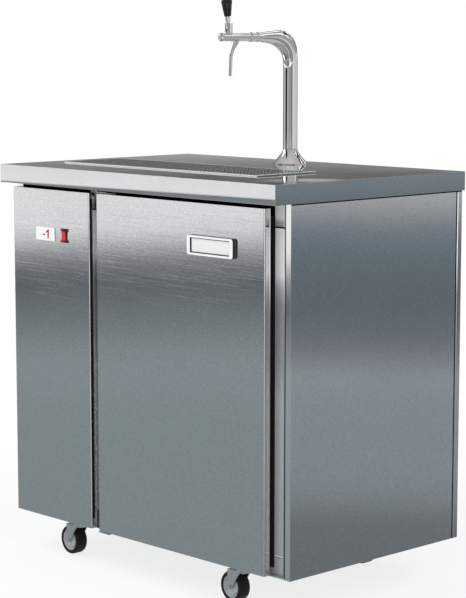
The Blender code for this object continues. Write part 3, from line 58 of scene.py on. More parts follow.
# What the metal mirrors in each direction of the studio: elevation in degrees against linear colour
FRONT_SKY = (
    (-90.0, (0.60, 0.60, 0.60)),
    (-26.0, (0.55, 0.55, 0.55)),
    (-17.0, (0.27, 0.315, 0.33)),
    (-11.0, (0.290, 0.342, 0.358)),
    (-9.3, (0.320, 0.368, 0.388)),
    (-8.4, (0.235, 0.265, 0.280)),
    (-7.6, (0.178, 0.203, 0.215)),
    (-7.2, (0.145, 0.166, 0.179)),
    (-6.8, (0.080, 0.095, 0.105)),
    (-6.5, (0.105, 0.118, 0.130)),
    (-6.2, (0.42, 0.44, 0.45)),
    (-5.95, (0.91, 0.92, 0.92)),
    (-5.6, (0.99, 0.99, 0.99)),
    (-2.0, (1.0, 1.0, 1.0)),
    (30.0, (1.0, 1.0, 1.0)),
    (90.0, (0.9, 0.9, 0.9)),
)
SIDE_SKY = (
    (-90.0, (0.60, 0.60, 0.60)),
    (-26.0, (0.50, 0.50, 0.50)),
    (-18.0, (0.18, 0.20, 0.21)),
    (-13.9, (0.19, 0.208, 0.220)),
    (-13.2, (0.300, 0.340, 0.365)),
    (-10.6, (0.300, 0.345, 0.370)),
    (-9.7, (0.365, 0.405, 0.430)),
    (-9.1, (0.210, 0.230, 0.250)),
    (-8.7, (0.175, 0.200, 0.220)),
    (-7.5, (0.148, 0.180, 0.198)),
    (-6.8, (0.160, 0.193, 0.213)),
    (-6.0, (0.162, 0.212, 0.250)),
    (-5.5, (0.210, 0.250, 0.290)),
    (-5.0, (0.400, 0.420, 0.445)),
    (-4.0, (0.60, 0.61, 0.62)),
    (0.0, (0.66, 0.66, 0.66)),
    (90.0, (0.85, 0.85, 0.85)),
)
BACK_SKY = (
    (-90.0, (0.60, 0.60, 0.60)),
    (-26.0, (0.50, 0.50, 0.50)),
    (-12.0, (0.29, 0.33, 0.36)),
    (-7.0, (0.20, 0.22, 0.24)),
    (-4.0, (0.26, 0.27, 0.28)),
    (1.0, (0.40, 0.40, 0.40)),
    (2.0, (0.95, 0.94, 0.93)),
    (3.2, (0.70, 0.69, 0.68)),
    (3.48, (0.38, 0.375, 0.37)),
    (3.60, (0.11, 0.108, 0.110)),
    (3.8, (0.035, 0.034, 0.038)),
    (4.1, (0.035, 0.034, 0.038)),
    (4.6, (0.125, 0.122, 0.130)),
    (10.0, (0.13, 0.13, 0.135)),
    (25.0, (0.26, 0.26, 0.26)),
    (90.0, (0.70, 0.70, 0.70)),
)
TOP_SKY = (
    (9.0, (0.36, 0.36, 0.36)),
    (24.0, (0.42, 0.42, 0.42)),
    (60.0, (0.46, 0.46, 0.46)),
    (90.0, (0.60, 0.60, 0.60)),
)
LAMP_SKY = (
    (-24.0, (0.6, 0.6, 0.6)),
    (-10.0, (0.8, 0.8, 0.8)),
    (-7.0, (1.1, 1.1, 1.1)),
    (-5.5, (1.6, 1.6, 1.6)),
    (-3.0, (2.6, 2.6, 2.6)),
)
# What it mirrors round the horizon: azimuth in degrees against brightness
RING_SKY = (
    (-180.0, 0.08), (-170.0, 0.12), (-158.0, 0.46), (-146.0, 0.62), (-134.0, 0.46), (-129.0, 0.28),
    (-127.0, 0.006), (-99.0, 0.006), (-97.0, 0.50), (-86.0, 0.46), (-70.0, 0.36), (-54.0, 0.30),
    (-32.0, 0.30), (-28.0, 0.17), (-18.0, 0.17), (-13.0, 0.45), (-6.0, 0.62), (12.0, 0.74),
    (31.0, 0.60), (54.0, 0.60), (83.0, 0.66), (110.0, 0.42), (136.0, 0.20), (160.0, 0.12), (180.0, 0.08),
)

# How wide each part of the studio is: azimuth of its middle, degrees to each side, degrees of soft border
FRONT_WIDE = (-140.0, 24.0, 12.0)
BACK_WIDE = (130.0, 28.0, 34.0)
PANEL_WIDE = (-150.0, 12.0, 5.0)
WINDOWS_WIDE = (72.0, 42.0, 12.0)
STAND_WIDE = (-110.0, 12.0, 3.0)
LAMP_WIDE = (-45.0, 12.0, 4.0)

# Where those parts start and end in height: elevations between which the change happens
FRONT_END = RING_START = (-3.6, -3.2)
LAMP_END = (-3.8, -3.5)
TOP_START = (1.5, 6.0)
HIGH_START, HIGH_END = (10.0, 15.0), (66.0, 80.0)
PANEL_END = (42.0, 46.0)
WINDOWS_START, WINDOWS_END = (17.0, 22.0), (50.0, 58.0)

# The plain colours of the parts above the horizon
PANEL_GLOW = (3.5, 3.5, 3.5)
WINDOWS_GLOW = (1.15, 1.15, 1.15)
DRAPE_DARK = (0.02, 0.02, 0.02)
STAND_DARK = (0.01, 0.01, 0.01)
# Drapes hang over the windows where a noise rises past these values
DRAPE_SCALE = 5.5
DRAPE_EDGE = (0.46, 0.49)

# What lights the matt surfaces, apart from the two lamps
SOFT_SKY = (0.80, 0.81, 0.82, 1.0)
SOFT_SKY_STRENGTH = 0.85
LAMPS = (
    ("key", (-2.2, -3.4, 4.2), 110.0),
    ("fill", (3.8, -1.0, 3.2), 60.0),
)
LAMP_SIZE = 3.0
LAMP_TARGET = (0.0, 0.0, 0.6)

# The paper floor turns into the white ground, as the camera sees it, between these distances from the middle
FLOOR_RADIUS = 40.0
FLOOR_FADE = (0.7, 2.2)
FLOOR_LEAST_FADE = 0.80

# The usual middle range of a noise value
NOISE_LOW, NOISE_HIGH = 0.3, 0.7

# Sockets of the Mix node, which has a set of its own for vectors and for colours
MIX_FACTOR = 0
MIX_VECTORS, MIX_VECTOR_OUT = (4, 5), 1
MIX_COLOURS, MIX_COLOUR_OUT = (6, 7), 2


# Node helpers


def link(tree, source, target):
    tree.links.new(source, target)


def feed(tree, value, target):
    """Links a socket to an input, or sets the input where the value is a plain one."""
    if isinstance(value, bpy.types.NodeSocket):
        link(tree, value, target)
    else:
        target.default_value = value


def math_node(tree, operation, *values):
    """A Math node whose inputs are sockets or numbers; returns its output."""
    node = tree.nodes.new("ShaderNodeMath")
    node.operation = operation
    for value, target in zip(values, node.inputs):
        feed(tree, value, target)
    return node.outputs[0]


def product(tree, first, *others):
    for other in others:
        first = math_node(tree, "MULTIPLY", first, other)
    return first


def vector_node(tree, operation, vector):
    """A Vector Math node on one socket; returns the node."""
    node = tree.nodes.new("ShaderNodeVectorMath")
    node.operation = operation
    link(tree, vector, node.inputs[0])
    return node


def map_range(tree, value, low, high, to_low=0.0, to_high=1.0, smooth=False):
    """Maps low..high to to_low..to_high and holds the ends."""
    node = tree.nodes.new("ShaderNodeMapRange")
    node.interpolation_type = "SMOOTHSTEP" if smooth else "LINEAR"
    for name, number in (("From Min", low), ("From Max", high), ("To Min", to_low), ("To Max", to_high)):
        node.inputs[name].default_value = number
    link(tree, value, node.inputs["Value"])
    return node.outputs["Result"]


def rise_between(tree, value, low, high):
    """0 below low, 1 above high, smooth between them."""
    return map_range(tree, value, low, high, smooth=True)


def fall_between(tree, value, low, high):
    """1 below low, 0 above high, smooth between them."""
    return map_range(tree, value, low, high, 1.0, 0.0, smooth=True)


def spread(tree, noise, low, high):
    """Maps a noise value from its usual middle range to low..high."""
    return map_range(tree, noise, NOISE_LOW, NOISE_HIGH, low, high)


def ramp_node(tree, fac, stops):
    """A ColorRamp with (place, colour) stops; returns its colour output."""
    node = tree.nodes.new("ShaderNodeValToRGB")
    ramp = node.color_ramp
    while len(ramp.elements) > 1:
        ramp.elements.remove(ramp.elements[-1])
    ramp.elements[0].position = stops[0][0]
    ramp.elements[0].color = (*stops[0][1], 1.0)
    for place, colour in stops[1:]:
        ramp.elements.new(place).color = (*colour, 1.0)
    link(tree, fac, node.inputs["Fac"])
    return node.outputs["Color"]


def noise_colour(tree, noise, dark, light, low=NOISE_LOW, high=NOISE_HIGH):
    """A colour that goes from dark to light with a noise value."""
    return ramp_node(tree, noise, ((low, dark), (high, light)))


def graded(tree, value, stops):
    """A colour that follows a value through stops of (value, colour), lowest first."""
    low, high = stops[0][0], stops[-1][0]
    place = map_range(tree, value, low, high)
    return ramp_node(tree, place, [((at - low) / (high - low), colour) for at, colour in stops])


def mix_colour(tree, fac, first, second, blend="MIX"):
    """Mixes two colours, which are sockets or plain colours; returns the result."""
    node = tree.nodes.new("ShaderNodeMix")
    node.data_type = "RGBA"
    node.blend_type = blend
    feed(tree, fac, node.inputs[MIX_FACTOR])
    for value, slot in zip((first, second), MIX_COLOURS):
        feed(tree, (*value, 1.0) if isinstance(value, tuple) else value, node.inputs[slot])
    return node.outputs[MIX_COLOUR_OUT]


def place_parts(tree, space="Object"):
    """The X, Y and Z outputs of the shaded point, in one space of the Texture Coordinate node."""
    place = tree.nodes.new("ShaderNodeTexCoord")
    parts = tree.nodes.new("ShaderNodeSeparateXYZ")
    link(tree, place.outputs[space], parts.inputs["Vector"])
    return parts.outputs


def grain(tree, scale, stretch=(1.0, 1.0, 1.0), detail=2.0, turn=(0.0, 0.0, 0.0), roughness=0.5):
    """Noise in the object's own space, drawn out by stretch; returns its value output."""
    place = tree.nodes.new("ShaderNodeTexCoord")
    mapping = tree.nodes.new("ShaderNodeMapping")
    mapping.inputs["Scale"].default_value = stretch
    mapping.inputs["Rotation"].default_value = turn
    noise = tree.nodes.new("ShaderNodeTexNoise")
    noise.inputs["Scale"].default_value = scale
    noise.inputs["Detail"].default_value = detail
    noise.inputs["Roughness"].default_value = roughness
    link(tree, place.outputs["Object"], mapping.inputs["Vector"])
    link(tree, mapping.outputs["Vector"], noise.inputs["Vector"])
    return noise.outputs["Fac"]


def bump(tree, height, distance, normal=None):
    """Bends the normal by a height of 0..1 over a distance in metres, on top of another bump where given."""
    node = tree.nodes.new("ShaderNodeBump")
    node.inputs["Strength"].default_value = 1.0
    node.inputs["Distance"].default_value = distance
    link(tree, height, node.inputs["Height"])
    if normal is not None:
        link(tree, normal, node.inputs["Normal"])
    return node.outputs["Normal"]


# Kinds of material

# How often the noise of each kind repeats in a metre, as fine grain or broad spots
METAL_GRAIN, METAL_SPOTS = 420.0, 9.0
PLASTIC_GRAIN, PLASTIC_SPOTS = 260.0, 30.0
DASHES_ALONG, DASHES_ACROSS = 60.0, 620.0
SPECKLE_ALONG, SPECKLE_ACROSS = 190.0, 330.0
HAIRLINE_STRETCH = (5.0, 5.0, 520.0)
STREAK_STRETCH = (9.0, 60.0, 9.0)
FRAME_GRAIN, FRAME_SPOTS = (520.0, 520.0, 60.0), 12.0
LIP_GRAIN = (300.0, 300.0, 30.0)
# How the marks of brushed sheet look, in colour, radians, gloss and metres
SPECKLE_DARK, SPECKLE_LIGHT = (0.90, 0.90, 0.90), (1.08, 1.08, 1.08)
HAIRLINE_ANGLES = (0.30, -0.33, 0.16, -0.20)
HAIRLINE_DULLNESS = 0.03
SHEET_ROUGH_RANGE = 0.012
HEM_ROUNDING = 0.006
WORKTOP_HEIGHT = 1.01
SWELL_HEIGHT = 0.8 * MM
SWELL_DULLNESS = 0.05
FRAME_GRAIN_HEIGHT = 0.000004
# Colours against height of the frame, a painted reflection in light and dark bands, and of the folded lips, a
# painted highlight near the top; and against X of the switch's surround, red with painted shade on its right
FRAME_PAINTED_REFLECTION = (
    (0.10, (0.46, 0.49, 0.50)), (0.52, (0.50, 0.53, 0.54)), (0.60, (0.36, 0.38, 0.39)),
    (0.73, (0.30, 0.315, 0.32)), (0.77, (0.48, 0.49, 0.49)), (0.80, (0.93, 0.93, 0.93)),
    (0.908, (0.93, 0.93, 0.93)), (0.9095, (0.36, 0.37, 0.37)), (0.919, (0.42, 0.43, 0.43)),
    (0.930, (0.93, 0.93, 0.93)), (0.96, (0.95, 0.95, 0.95)),
)
LIP_PAINTED_HIGHLIGHT = (
    (0.10, (0.24, 0.26, 0.27)), (0.50, (0.29, 0.31, 0.32)), (0.71, (0.33, 0.34, 0.35)),
    (0.79, (0.90, 0.90, 0.90)), (0.97, (0.96, 0.96, 0.96)),
)
# The switch surround's red, and the near black painted on its right half as shade.
SWITCH_RED, SWITCH_SHADE_DARK = (0.34, 0.008, 0.012), (0.010, 0.008, 0.009)
SWITCH_TONES = ((-0.30, SWITCH_RED), (-0.2885, SWITCH_RED), (-0.2865, SWITCH_SHADE_DARK), (-0.27, SWITCH_SHADE_DARK))
CHROME_DARK, CHROME_LIGHT, CHROME_ROUGH, CHROME_ROUGH_RANGE = (0.86, 0.86, 0.86), (0.90, 0.90, 0.90), 0.045, 0.01
# Over how many metres the column's round shading sets in at its foot and ends at its bend
ROUND_START, ROUND_END = 0.006, 0.02


def new_material(name):
    material = bpy.data.materials.new(name)
    material.use_nodes = True
    tree = material.node_tree
    return material, tree, tree.nodes["Principled BSDF"]


def metal(name, dark, light, roughness, rough_range=0.02, height=0.0):
    """Bare metal whose colour varies with a fine grain and whose gloss varies in broad spots."""
    material, tree, shader = new_material(name)
    fine = grain(tree, METAL_GRAIN, detail=3.0)
    link(tree, noise_colour(tree, fine, dark, light), shader.inputs["Base Color"])
    broad = grain(tree, METAL_SPOTS, detail=3.0)
    gloss = spread(tree, broad, roughness - rough_range, roughness + rough_range)
    link(tree, gloss, shader.inputs["Roughness"])
    shader.inputs["Metallic"].default_value = 1.0
    if height:
        link(tree, bump(tree, fine, height), shader.inputs["Normal"])
    return material


def plastic(name, dark, light, roughness, scale=PLASTIC_GRAIN, height=0.00003, specular=0.5):
    """Moulded plastic, painted metal or rubber, with a faint mould grain."""
    material, tree, shader = new_material(name)
    fine = grain(tree, scale, detail=4.0)
    link(tree, noise_colour(tree, fine, dark, light), shader.inputs["Base Color"])
    broad = grain(tree, PLASTIC_SPOTS)
    link(tree, spread(tree, broad, roughness * 0.9, roughness * 1.1), shader.inputs["Roughness"])
    shader.inputs["Specular IOR Level"].default_value = specular
    link(tree, bump(tree, fine, height), shader.inputs["Normal"])
    return material


def drawn_out(along, with_grain, across):
    """A stretch for marks that lie along one axis."""
    return tuple(with_grain if axis == along else across for axis in "XYZ")


def hairlines(tree, height, gloss, normal):
    """Long scratches that cross at small angles on an upright face; returns the new gloss and normal."""
    for angle in HAIRLINE_ANGLES:
        lines = grain(tree, 1.0, HAIRLINE_STRETCH, 1.0, turn=(0.0, angle, 0.0))
        cut = noise_colour(tree, lines, (0.0, 0.0, 0.0), (1.0, 1.0, 1.0), 0.65, 0.71)
        gloss = math_node(tree, "ADD", gloss, product(tree, cut, HAIRLINE_DULLNESS))
        normal = bump(tree, cut, height, normal)
    return gloss, normal


def leaning_hem(tree, height, slope, rise, normal):
    """A border that leans in below a height, which rises along X; returns the new normal."""
    parts = place_parts(tree)
    line = math_node(tree, "MULTIPLY_ADD", parts["X"], rise, height)
    below = math_node(tree, "SUBTRACT", line, parts["Z"])
    rounded = math_node(tree, "SMOOTH_MAX", below, 0.0, HEM_ROUNDING)
    return bump(tree, product(tree, rounded, -slope), 1.0, normal)


def swell(tree, x, y, radius, gloss, normal):
    """A round spot where the worktop swells and is duller in streaks; returns the new gloss and normal."""
    place = tree.nodes.new("ShaderNodeTexCoord")
    away = vector_node(tree, "DISTANCE", place.outputs["Object"])
    away.inputs[1].default_value = (x, y, WORKTOP_HEIGHT)
    near = fall_between(tree, away.outputs["Value"], 0.0, radius)
    normal = bump(tree, product(tree, near, SWELL_HEIGHT), 1.0, normal)
    streaks = spread(tree, grain(tree, 1.0, STREAK_STRETCH), 0.0, SWELL_DULLNESS)
    return math_node(tree, "ADD", gloss, product(tree, near, streaks)), normal


def brushed_sheet(name, dark, light, roughness, along, dashes, speckle=0.0, scratches=0.0, hem=None, worn=None):
    """Brushed sheet steel: fine dashes along one axis, and where asked coarser speckle and long scratches.

    dashes, speckle and scratches are heights in metres. hem is (height, slope, rise) of a lower border that
    leans in, and worn is (x, y, radius) of a spot that swells.
    """
    material, tree, shader = new_material(name)
    fine = grain(tree, 1.0, drawn_out(along, DASHES_ALONG, DASHES_ACROSS), 3.0, roughness=0.6)
    tone = noise_colour(tree, fine, dark, light, 0.25, 0.75)
    broad = grain(tree, 5.0, (1.0, 1.0, 2.0))
    gloss = spread(tree, broad, roughness - SHEET_ROUGH_RANGE, roughness + SHEET_ROUGH_RANGE)
    normal = bump(tree, fine, dashes)
    if speckle:
        dots = grain(tree, 1.0, drawn_out(along, SPECKLE_ALONG, SPECKLE_ACROSS), roughness=0.7)
        shade = noise_colour(tree, dots, SPECKLE_DARK, SPECKLE_LIGHT, 0.32, 0.68)
        tone = mix_colour(tree, 1.0, tone, shade, "MULTIPLY")
        normal = bump(tree, dots, speckle, normal)
    if scratches:
        gloss, normal = hairlines(tree, scratches, gloss, normal)
    if hem:
        normal = leaning_hem(tree, *hem, normal)
    if worn:
        gloss, normal = swell(tree, *worn, gloss, normal)
    link(tree, tone, shader.inputs["Base Color"])
    link(tree, gloss, shader.inputs["Roughness"])
    link(tree, normal, shader.inputs["Normal"])
    shader.inputs["Metallic"].default_value = 1.0
    return material


def switch_plastic(name):
    """The switch's surround: red on its left half, and near black on its right half as painted shade."""
    material, tree, shader = new_material(name)
    link(tree, graded(tree, place_parts(tree)["X"], SWITCH_TONES), shader.inputs["Base Color"])
    link(tree, spread(tree, grain(tree, 60.0), 0.3, 0.4), shader.inputs["Roughness"])
    return material


def paint_light_by_height(tree, shader, stops, fine, darkest):
    """Painted light: a base colour that follows the height through stops and is grained down to a share of it."""
    tone = graded(tree, place_parts(tree)["Z"], stops)
    shade = noise_colour(tree, fine, (darkest, darkest, darkest), (1.0, 1.0, 1.0))
    link(tree, mix_colour(tree, 1.0, tone, shade, "MULTIPLY"), shader.inputs["Base Color"])


def frame_sheet(name):
    """The frame round the doors: satin steel with a painted reflection, whose base colour is lighter near the top
    and darker in bands further down.
    """
    material, tree, shader = new_material(name)
    fine = grain(tree, 1.0, FRAME_GRAIN, 3.0)
    paint_light_by_height(tree, shader, FRAME_PAINTED_REFLECTION, fine, 0.92)
    link(tree, spread(tree, grain(tree, FRAME_SPOTS), 0.34, 0.40), shader.inputs["Roughness"])
    shader.inputs["Metallic"].default_value = 0.15
    link(tree, bump(tree, fine, FRAME_GRAIN_HEIGHT), shader.inputs["Normal"])
    return material


def painted_highlight_lip(name):
    """A folded lip with a painted highlight: its base colour is light near the top and darker further down."""
    material, tree, shader = new_material(name)
    fine = grain(tree, 1.0, LIP_GRAIN)
    paint_light_by_height(tree, shader, LIP_PAINTED_HIGHLIGHT, fine, 0.90)
    link(tree, spread(tree, fine, 0.3, 0.4), shader.inputs["Roughness"])
    return material


def column_chrome(name, axis, low, high):
    """Chrome that shades the column's straight stretch, low to high, as a true cylinder about its axis (x, y)."""
    material = metal(name, CHROME_DARK, CHROME_LIGHT, CHROME_ROUGH, CHROME_ROUGH_RANGE)
    tree = material.node_tree
    parts = place_parts(tree)
    outward = tree.nodes.new("ShaderNodeCombineXYZ")
    for side, middle in zip("XY", axis):
        link(tree, math_node(tree, "SUBTRACT", parts[side], middle), outward.inputs[side])
    unit = vector_node(tree, "NORMALIZE", outward.outputs["Vector"])
    started = rise_between(tree, parts["Z"], low, low + ROUND_START)
    straight = product(tree, started, fall_between(tree, parts["Z"], high - ROUND_END, high))
    shape = tree.nodes.new("ShaderNodeNewGeometry")
    both = tree.nodes.new("ShaderNodeMix")
    both.data_type = "VECTOR"
    link(tree, straight, both.inputs[MIX_FACTOR])
    for source, slot in zip((shape.outputs["Normal"], unit.outputs["Vector"]), MIX_VECTORS):
        link(tree, source, both.inputs[slot])
    link(tree, both.outputs[MIX_VECTOR_OUT], tree.nodes["Principled BSDF"].inputs["Normal"])
    return material


# Materials

SHEET_DARK, SHEET_LIGHT = (0.655, 0.66, 0.668), (0.745, 0.75, 0.758)
FRONT_STEEL = brushed_sheet("steel_front", SHEET_DARK, SHEET_LIGHT, 0.055, "X", 0.0000060, 0.000012, 0.0000025)
SIDE_STEEL = brushed_sheet("steel_side", SHEET_DARK, SHEET_LIGHT, 0.06, "Y", 0.000005, 0.000008)
TOP_STEEL = brushed_sheet(
    "steel_top", (0.66, 0.655, 0.655), (0.74, 0.735, 0.735), 0.055, "X", 0.000003, 0.000003,
    worn=(0.50, -0.22, 0.15),
)
# Painted reflection: the frame's base colour follows its height.
FRAME_STEEL = frame_sheet("steel_frame")
# Painted highlight: the worktop's front edge is a lighter copy of the sheet steel.
TOP_EDGE_LIGHTER = brushed_sheet(
    "steel_top_edge_painted_highlight", (0.74, 0.745, 0.75), (0.80, 0.805, 0.81), 0.09, "X", 0.000004,
    hem=(0.9728, 0.040, 0.0085),
)
# Painted shade: a darker, bluish copy of the sheet steel for the worktop's ends and the drip tray's front and
# right faces.
TOP_SIDE_SHADED = brushed_sheet("steel_top_side_painted_shade", (0.29, 0.34, 0.37), (0.35, 0.40, 0.43), 0.12, "Y", 0.000004, 0.00002)
# Painted highlight: the side panels' front edges are a lighter copy of the sheet steel.
PANEL_EDGE_LIGHTER = brushed_sheet(
    "steel_panel_edge_painted_highlight", (0.80, 0.805, 0.81), (0.86, 0.865, 0.87), 0.055, "X", 0.000004,
    hem=(0.97, -0.0085, 0.0),
)
# Painted highlight: the folds of the door and the cover are a lighter copy of the sheet steel.
FOLD_STEEL_LIGHTER = brushed_sheet("steel_fold_painted_highlight", (0.74, 0.745, 0.75), (0.82, 0.825, 0.83), 0.10, "Z", 0.000004)
MESH_STEEL = metal("steel_mesh", (0.66, 0.65, 0.65), (0.80, 0.79, 0.79), 0.24)
# Painted shade: near-black steel for the grille's slot walls.
MESH_SLOT_SHADE = metal("steel_mesh_slot_shade", (0.05, 0.05, 0.05), (0.08, 0.08, 0.08), 0.5)
CHROME = metal("polished_chrome", CHROME_DARK, CHROME_LIGHT, CHROME_ROUGH, CHROME_ROUGH_RANGE)
COLUMN_CHROME = column_chrome("column_chrome", (0.010, 0.216), 1.046, 1.265)
ZINC = metal("bright_zinc", (0.52, 0.56, 0.60), (0.66, 0.69, 0.72), 0.34, height=0.00001)
BRASS = metal("bare_brass", (0.60, 0.44, 0.20), (0.72, 0.55, 0.27), 0.25)
ALUMINIUM = metal("mill_aluminium", (0.62, 0.63, 0.65), (0.76, 0.77, 0.79), 0.35)
BOARD = plastic("core_board", (0.30, 0.22, 0.14), (0.44, 0.33, 0.22), 0.8, 140.0, 0.0001)
FOAM = plastic("insulation", (0.66, 0.55, 0.30), (0.80, 0.70, 0.44), 0.9, 300.0, 0.0002)
LINER = plastic("liner_white", (0.74, 0.75, 0.75), (0.82, 0.83, 0.83), 0.42)
WHITE_PLASTIC = plastic("white_moulding", (0.86, 0.86, 0.86), (0.92, 0.92, 0.92), 0.45)
LABEL = plastic("label_card", (0.80, 0.80, 0.80), (0.84, 0.84, 0.84), 0.5)
RED_PLASTIC = plastic("red_moulding", (0.62, 0.012, 0.02), (0.80, 0.03, 0.04), 0.3)
DARK_RED = plastic("display_digit", (0.40, 0.004, 0.01), (0.50, 0.01, 0.02), 0.5)
BLACK_PLASTIC = plastic("black_moulding", (0.012, 0.012, 0.013), (0.022, 0.022, 0.024), 0.5)
# Painted shadow in the gaps, and dark joint lines: flat black.
SHADOW_AND_JOINT_BLACK = plastic("shadow_and_joint_black", (0.002, 0.002, 0.002), (0.004, 0.004, 0.004), 0.8, specular=0.1)
BEZEL = switch_plastic("switch_surround")
# Painted highlight: near-white plastic for thin light lines.
HIGHLIGHT_WHITE = plastic("painted_highlight_white", (0.94, 0.94, 0.94), (0.98, 0.98, 0.98), 0.3)
# Painted highlight: lip steel that is light near the top.
LIP_HIGHLIGHT_STEEL = painted_highlight_lip("steel_lip_painted_highlight")
KNOB = plastic("black_gloss", (0.006, 0.006, 0.007), (0.011, 0.011, 0.012), 0.12, height=0.000004)
HUB = plastic("grey_hub", (0.40, 0.43, 0.45), (0.50, 0.53, 0.55), 0.35)
TYRE = plastic("black_rubber", (0.004, 0.004, 0.004), (0.009, 0.009, 0.009), 0.55, 200.0, 0.00008, 0.3)
COMPRESSOR = plastic("black_paint", (0.014, 0.014, 0.015), (0.024, 0.024, 0.025), 0.35)


def by_node(groups):
    """Turns (value, "name name ...") pairs into one value for each name."""
    return {name: value for value, names in groups for name in names.split()}


FINISHES = by_node((
    (TOP_STEEL, "worktop_skin drip_tray_pan"),
    (MESH_STEEL, "drip_tray_grille"),
    (SIDE_STEEL, "side_panel_left side_panel_right back_panel partition_panel"),
    (FRONT_STEEL, "machine_cover door_skin"),
    (FRAME_STEEL, "base_pan frame_bottom_rail frame_top_rail frame_right_stile frame_mullion"),
    (ALUMINIUM, "condenser evaporator"),
    (BRASS, "tower_lock_nut"),
    (COLUMN_CHROME, "tower_column"),
    (CHROME, "tap_coupling_nut tap_body tap_nose_cap tap_spout tap_bonnet tap_lever"),
    (BOARD, "worktop_core"),
    (FOAM, "insulation_foam door_foam"),
    (LINER, "cold_box_liner door_liner beer_tube"),
    (WHITE_PLASTIC, "temperature_display label_plate_frame"),
    (LABEL, "label_plate_insert"),
    (RED_PLASTIC, "switch_rocker"),
    (BEZEL, "switch_bezel"),
    (BLACK_PLASTIC, "power_inlet door_frame_breaker door_gasket fan_shroud condenser_fan"),
    (KNOB, "tap_handle"),
    (COMPRESSOR, "compressor"),
    (ZINC, "hinge_bracket_top hinge_bracket_bottom"),
))
for corner in ("front_left", "front_right", "rear_left", "rear_right"):
    for kind, finish in (("mount", ZINC), ("fork", ZINC), ("hub", HUB), ("tyre", TYRE)):
        FINISHES["caster_%s_%s" % (corner, kind)] = finish

# Widths of the rounded edges in millimetres
SOFT_EDGES = by_node((
    (0.3, "temperature_display label_plate_insert hinge_bracket_top hinge_bracket_bottom"),
    (0.4, "drip_tray_pan"),
    (0.5, "back_panel switch_rocker switch_bezel tap_coupling_nut tap_body"),
    (0.6, "tap_bonnet"),
    (0.8, "frame_top_rail frame_bottom_rail frame_right_stile frame_mullion label_plate_frame tap_nose_cap"),
    (1.4, "side_panel_left side_panel_right"),
    (1.5, "machine_cover door_skin"),
    (1.6, "worktop_skin"),
))

# Finishes of single sides: (axis, sign, finish) for the faces that look that way, where the lighter copies of the
# sheet steel are painted highlight and the darker bluish one is painted shade
FOLDED_SIDES = (("X", 1, FOLD_STEEL_LIGHTER), ("X", -1, FOLD_STEEL_LIGHTER), ("Z", 1, FOLD_STEEL_LIGHTER), ("Z", -1, FOLD_STEEL_LIGHTER))
SIDE_FINISHES = {
    "door_skin": FOLDED_SIDES,
    "machine_cover": FOLDED_SIDES,
    "worktop_skin": (("Y", -1, TOP_EDGE_LIGHTER), ("X", 1, TOP_SIDE_SHADED), ("X", -1, TOP_SIDE_SHADED)),
    "drip_tray_pan": (("Y", -1, TOP_SIDE_SHADED), ("X", 1, TOP_SIDE_SHADED)),
    "side_panel_left": (("Y", -1, PANEL_EDGE_LIGHTER),),
    "side_panel_right": (("Y", -1, PANEL_EDGE_LIGHTER),),
}

# Edges sharper than the first angle stay sharp, and faces within the second lie in one plane
SMOOTH_ANGLE = math.radians(36.0)
FLAT_ANGLE = math.radians(0.3)
WELD_DISTANCE = 0.002 * MM
BEVEL_SEGMENTS = 3
# A face looks along an axis where its normal's share is over the first, and across it where under the second
LOOKS_ALONG = 0.8
LOOKS_ACROSS = 0.5


# Finishing the CAD nodes


def smooth_group():
    """Geometry nodes that shade a mesh smooth but for edges sharper than SMOOTH_ANGLE."""
    group = bpy.data.node_groups.new("smooth_by_angle", "GeometryNodeTree")
    group.interface.new_socket("Geometry", in_out="INPUT", socket_type="NodeSocketGeometry")
    group.interface.new_socket("Geometry", in_out="OUTPUT", socket_type="NodeSocketGeometry")
    start = group.nodes.new("NodeGroupInput")
    end = group.nodes.new("NodeGroupOutput")
    edge = group.nodes.new("GeometryNodeInputMeshEdgeAngle")
    flat = group.nodes.new("FunctionNodeCompare")
    flat.data_type = "FLOAT"
    flat.operation = "LESS_EQUAL"
    flat.inputs["B"].default_value = SMOOTH_ANGLE
    edges = group.nodes.new("GeometryNodeSetShadeSmooth")
    edges.domain = "EDGE"
    faces = group.nodes.new("GeometryNodeSetShadeSmooth")
    faces.domain = "FACE"
    link(group, edge.outputs["Unsigned Angle"], flat.inputs["A"])
    link(group, start.outputs["Geometry"], edges.inputs["Geometry"])
    link(group, flat.outputs["Result"], edges.inputs["Shade Smooth"])
    link(group, edges.outputs["Geometry"], faces.inputs["Geometry"])
    link(group, faces.outputs["Geometry"], end.inputs["Geometry"])
    return group


def dress(node, smooth, width):
    """Joins a node's faces, rounds its sharp edges by a width and shades its round stretches smooth."""
    if "custom_normal" in node.data.attributes:
        node.data.attributes.remove(node.data.attributes["custom_normal"])
    weld = node.modifiers.new("joined", "WELD")
    weld.merge_threshold = WELD_DISTANCE
    if width:
        flat = node.modifiers.new("one_face_each_side", "DECIMATE")
        flat.decimate_type = "DISSOLVE"
        flat.angle_limit = FLAT_ANGLE
        bevel = node.modifiers.new("soft_edges", "BEVEL")
        bevel.width = width
        bevel.segments = BEVEL_SEGMENTS
        bevel.limit_method = "ANGLE"
        bevel.angle_limit = SMOOTH_ANGLE
        bevel.use_clamp_overlap = True
    node.modifiers.new("smooth", "NODES").node_group = smooth
    if width:
        node.modifiers.new("flat_sides", "WEIGHTED_NORMAL").keep_sharp = True


def finish_where(mesh, finish, wanted):
    """Gives a finish to the faces that a rule picks."""
    mesh.materials.append(finish)
    for face in mesh.polygons:
        if wanted(face.normal):
            face.material_index = len(mesh.materials) - 1


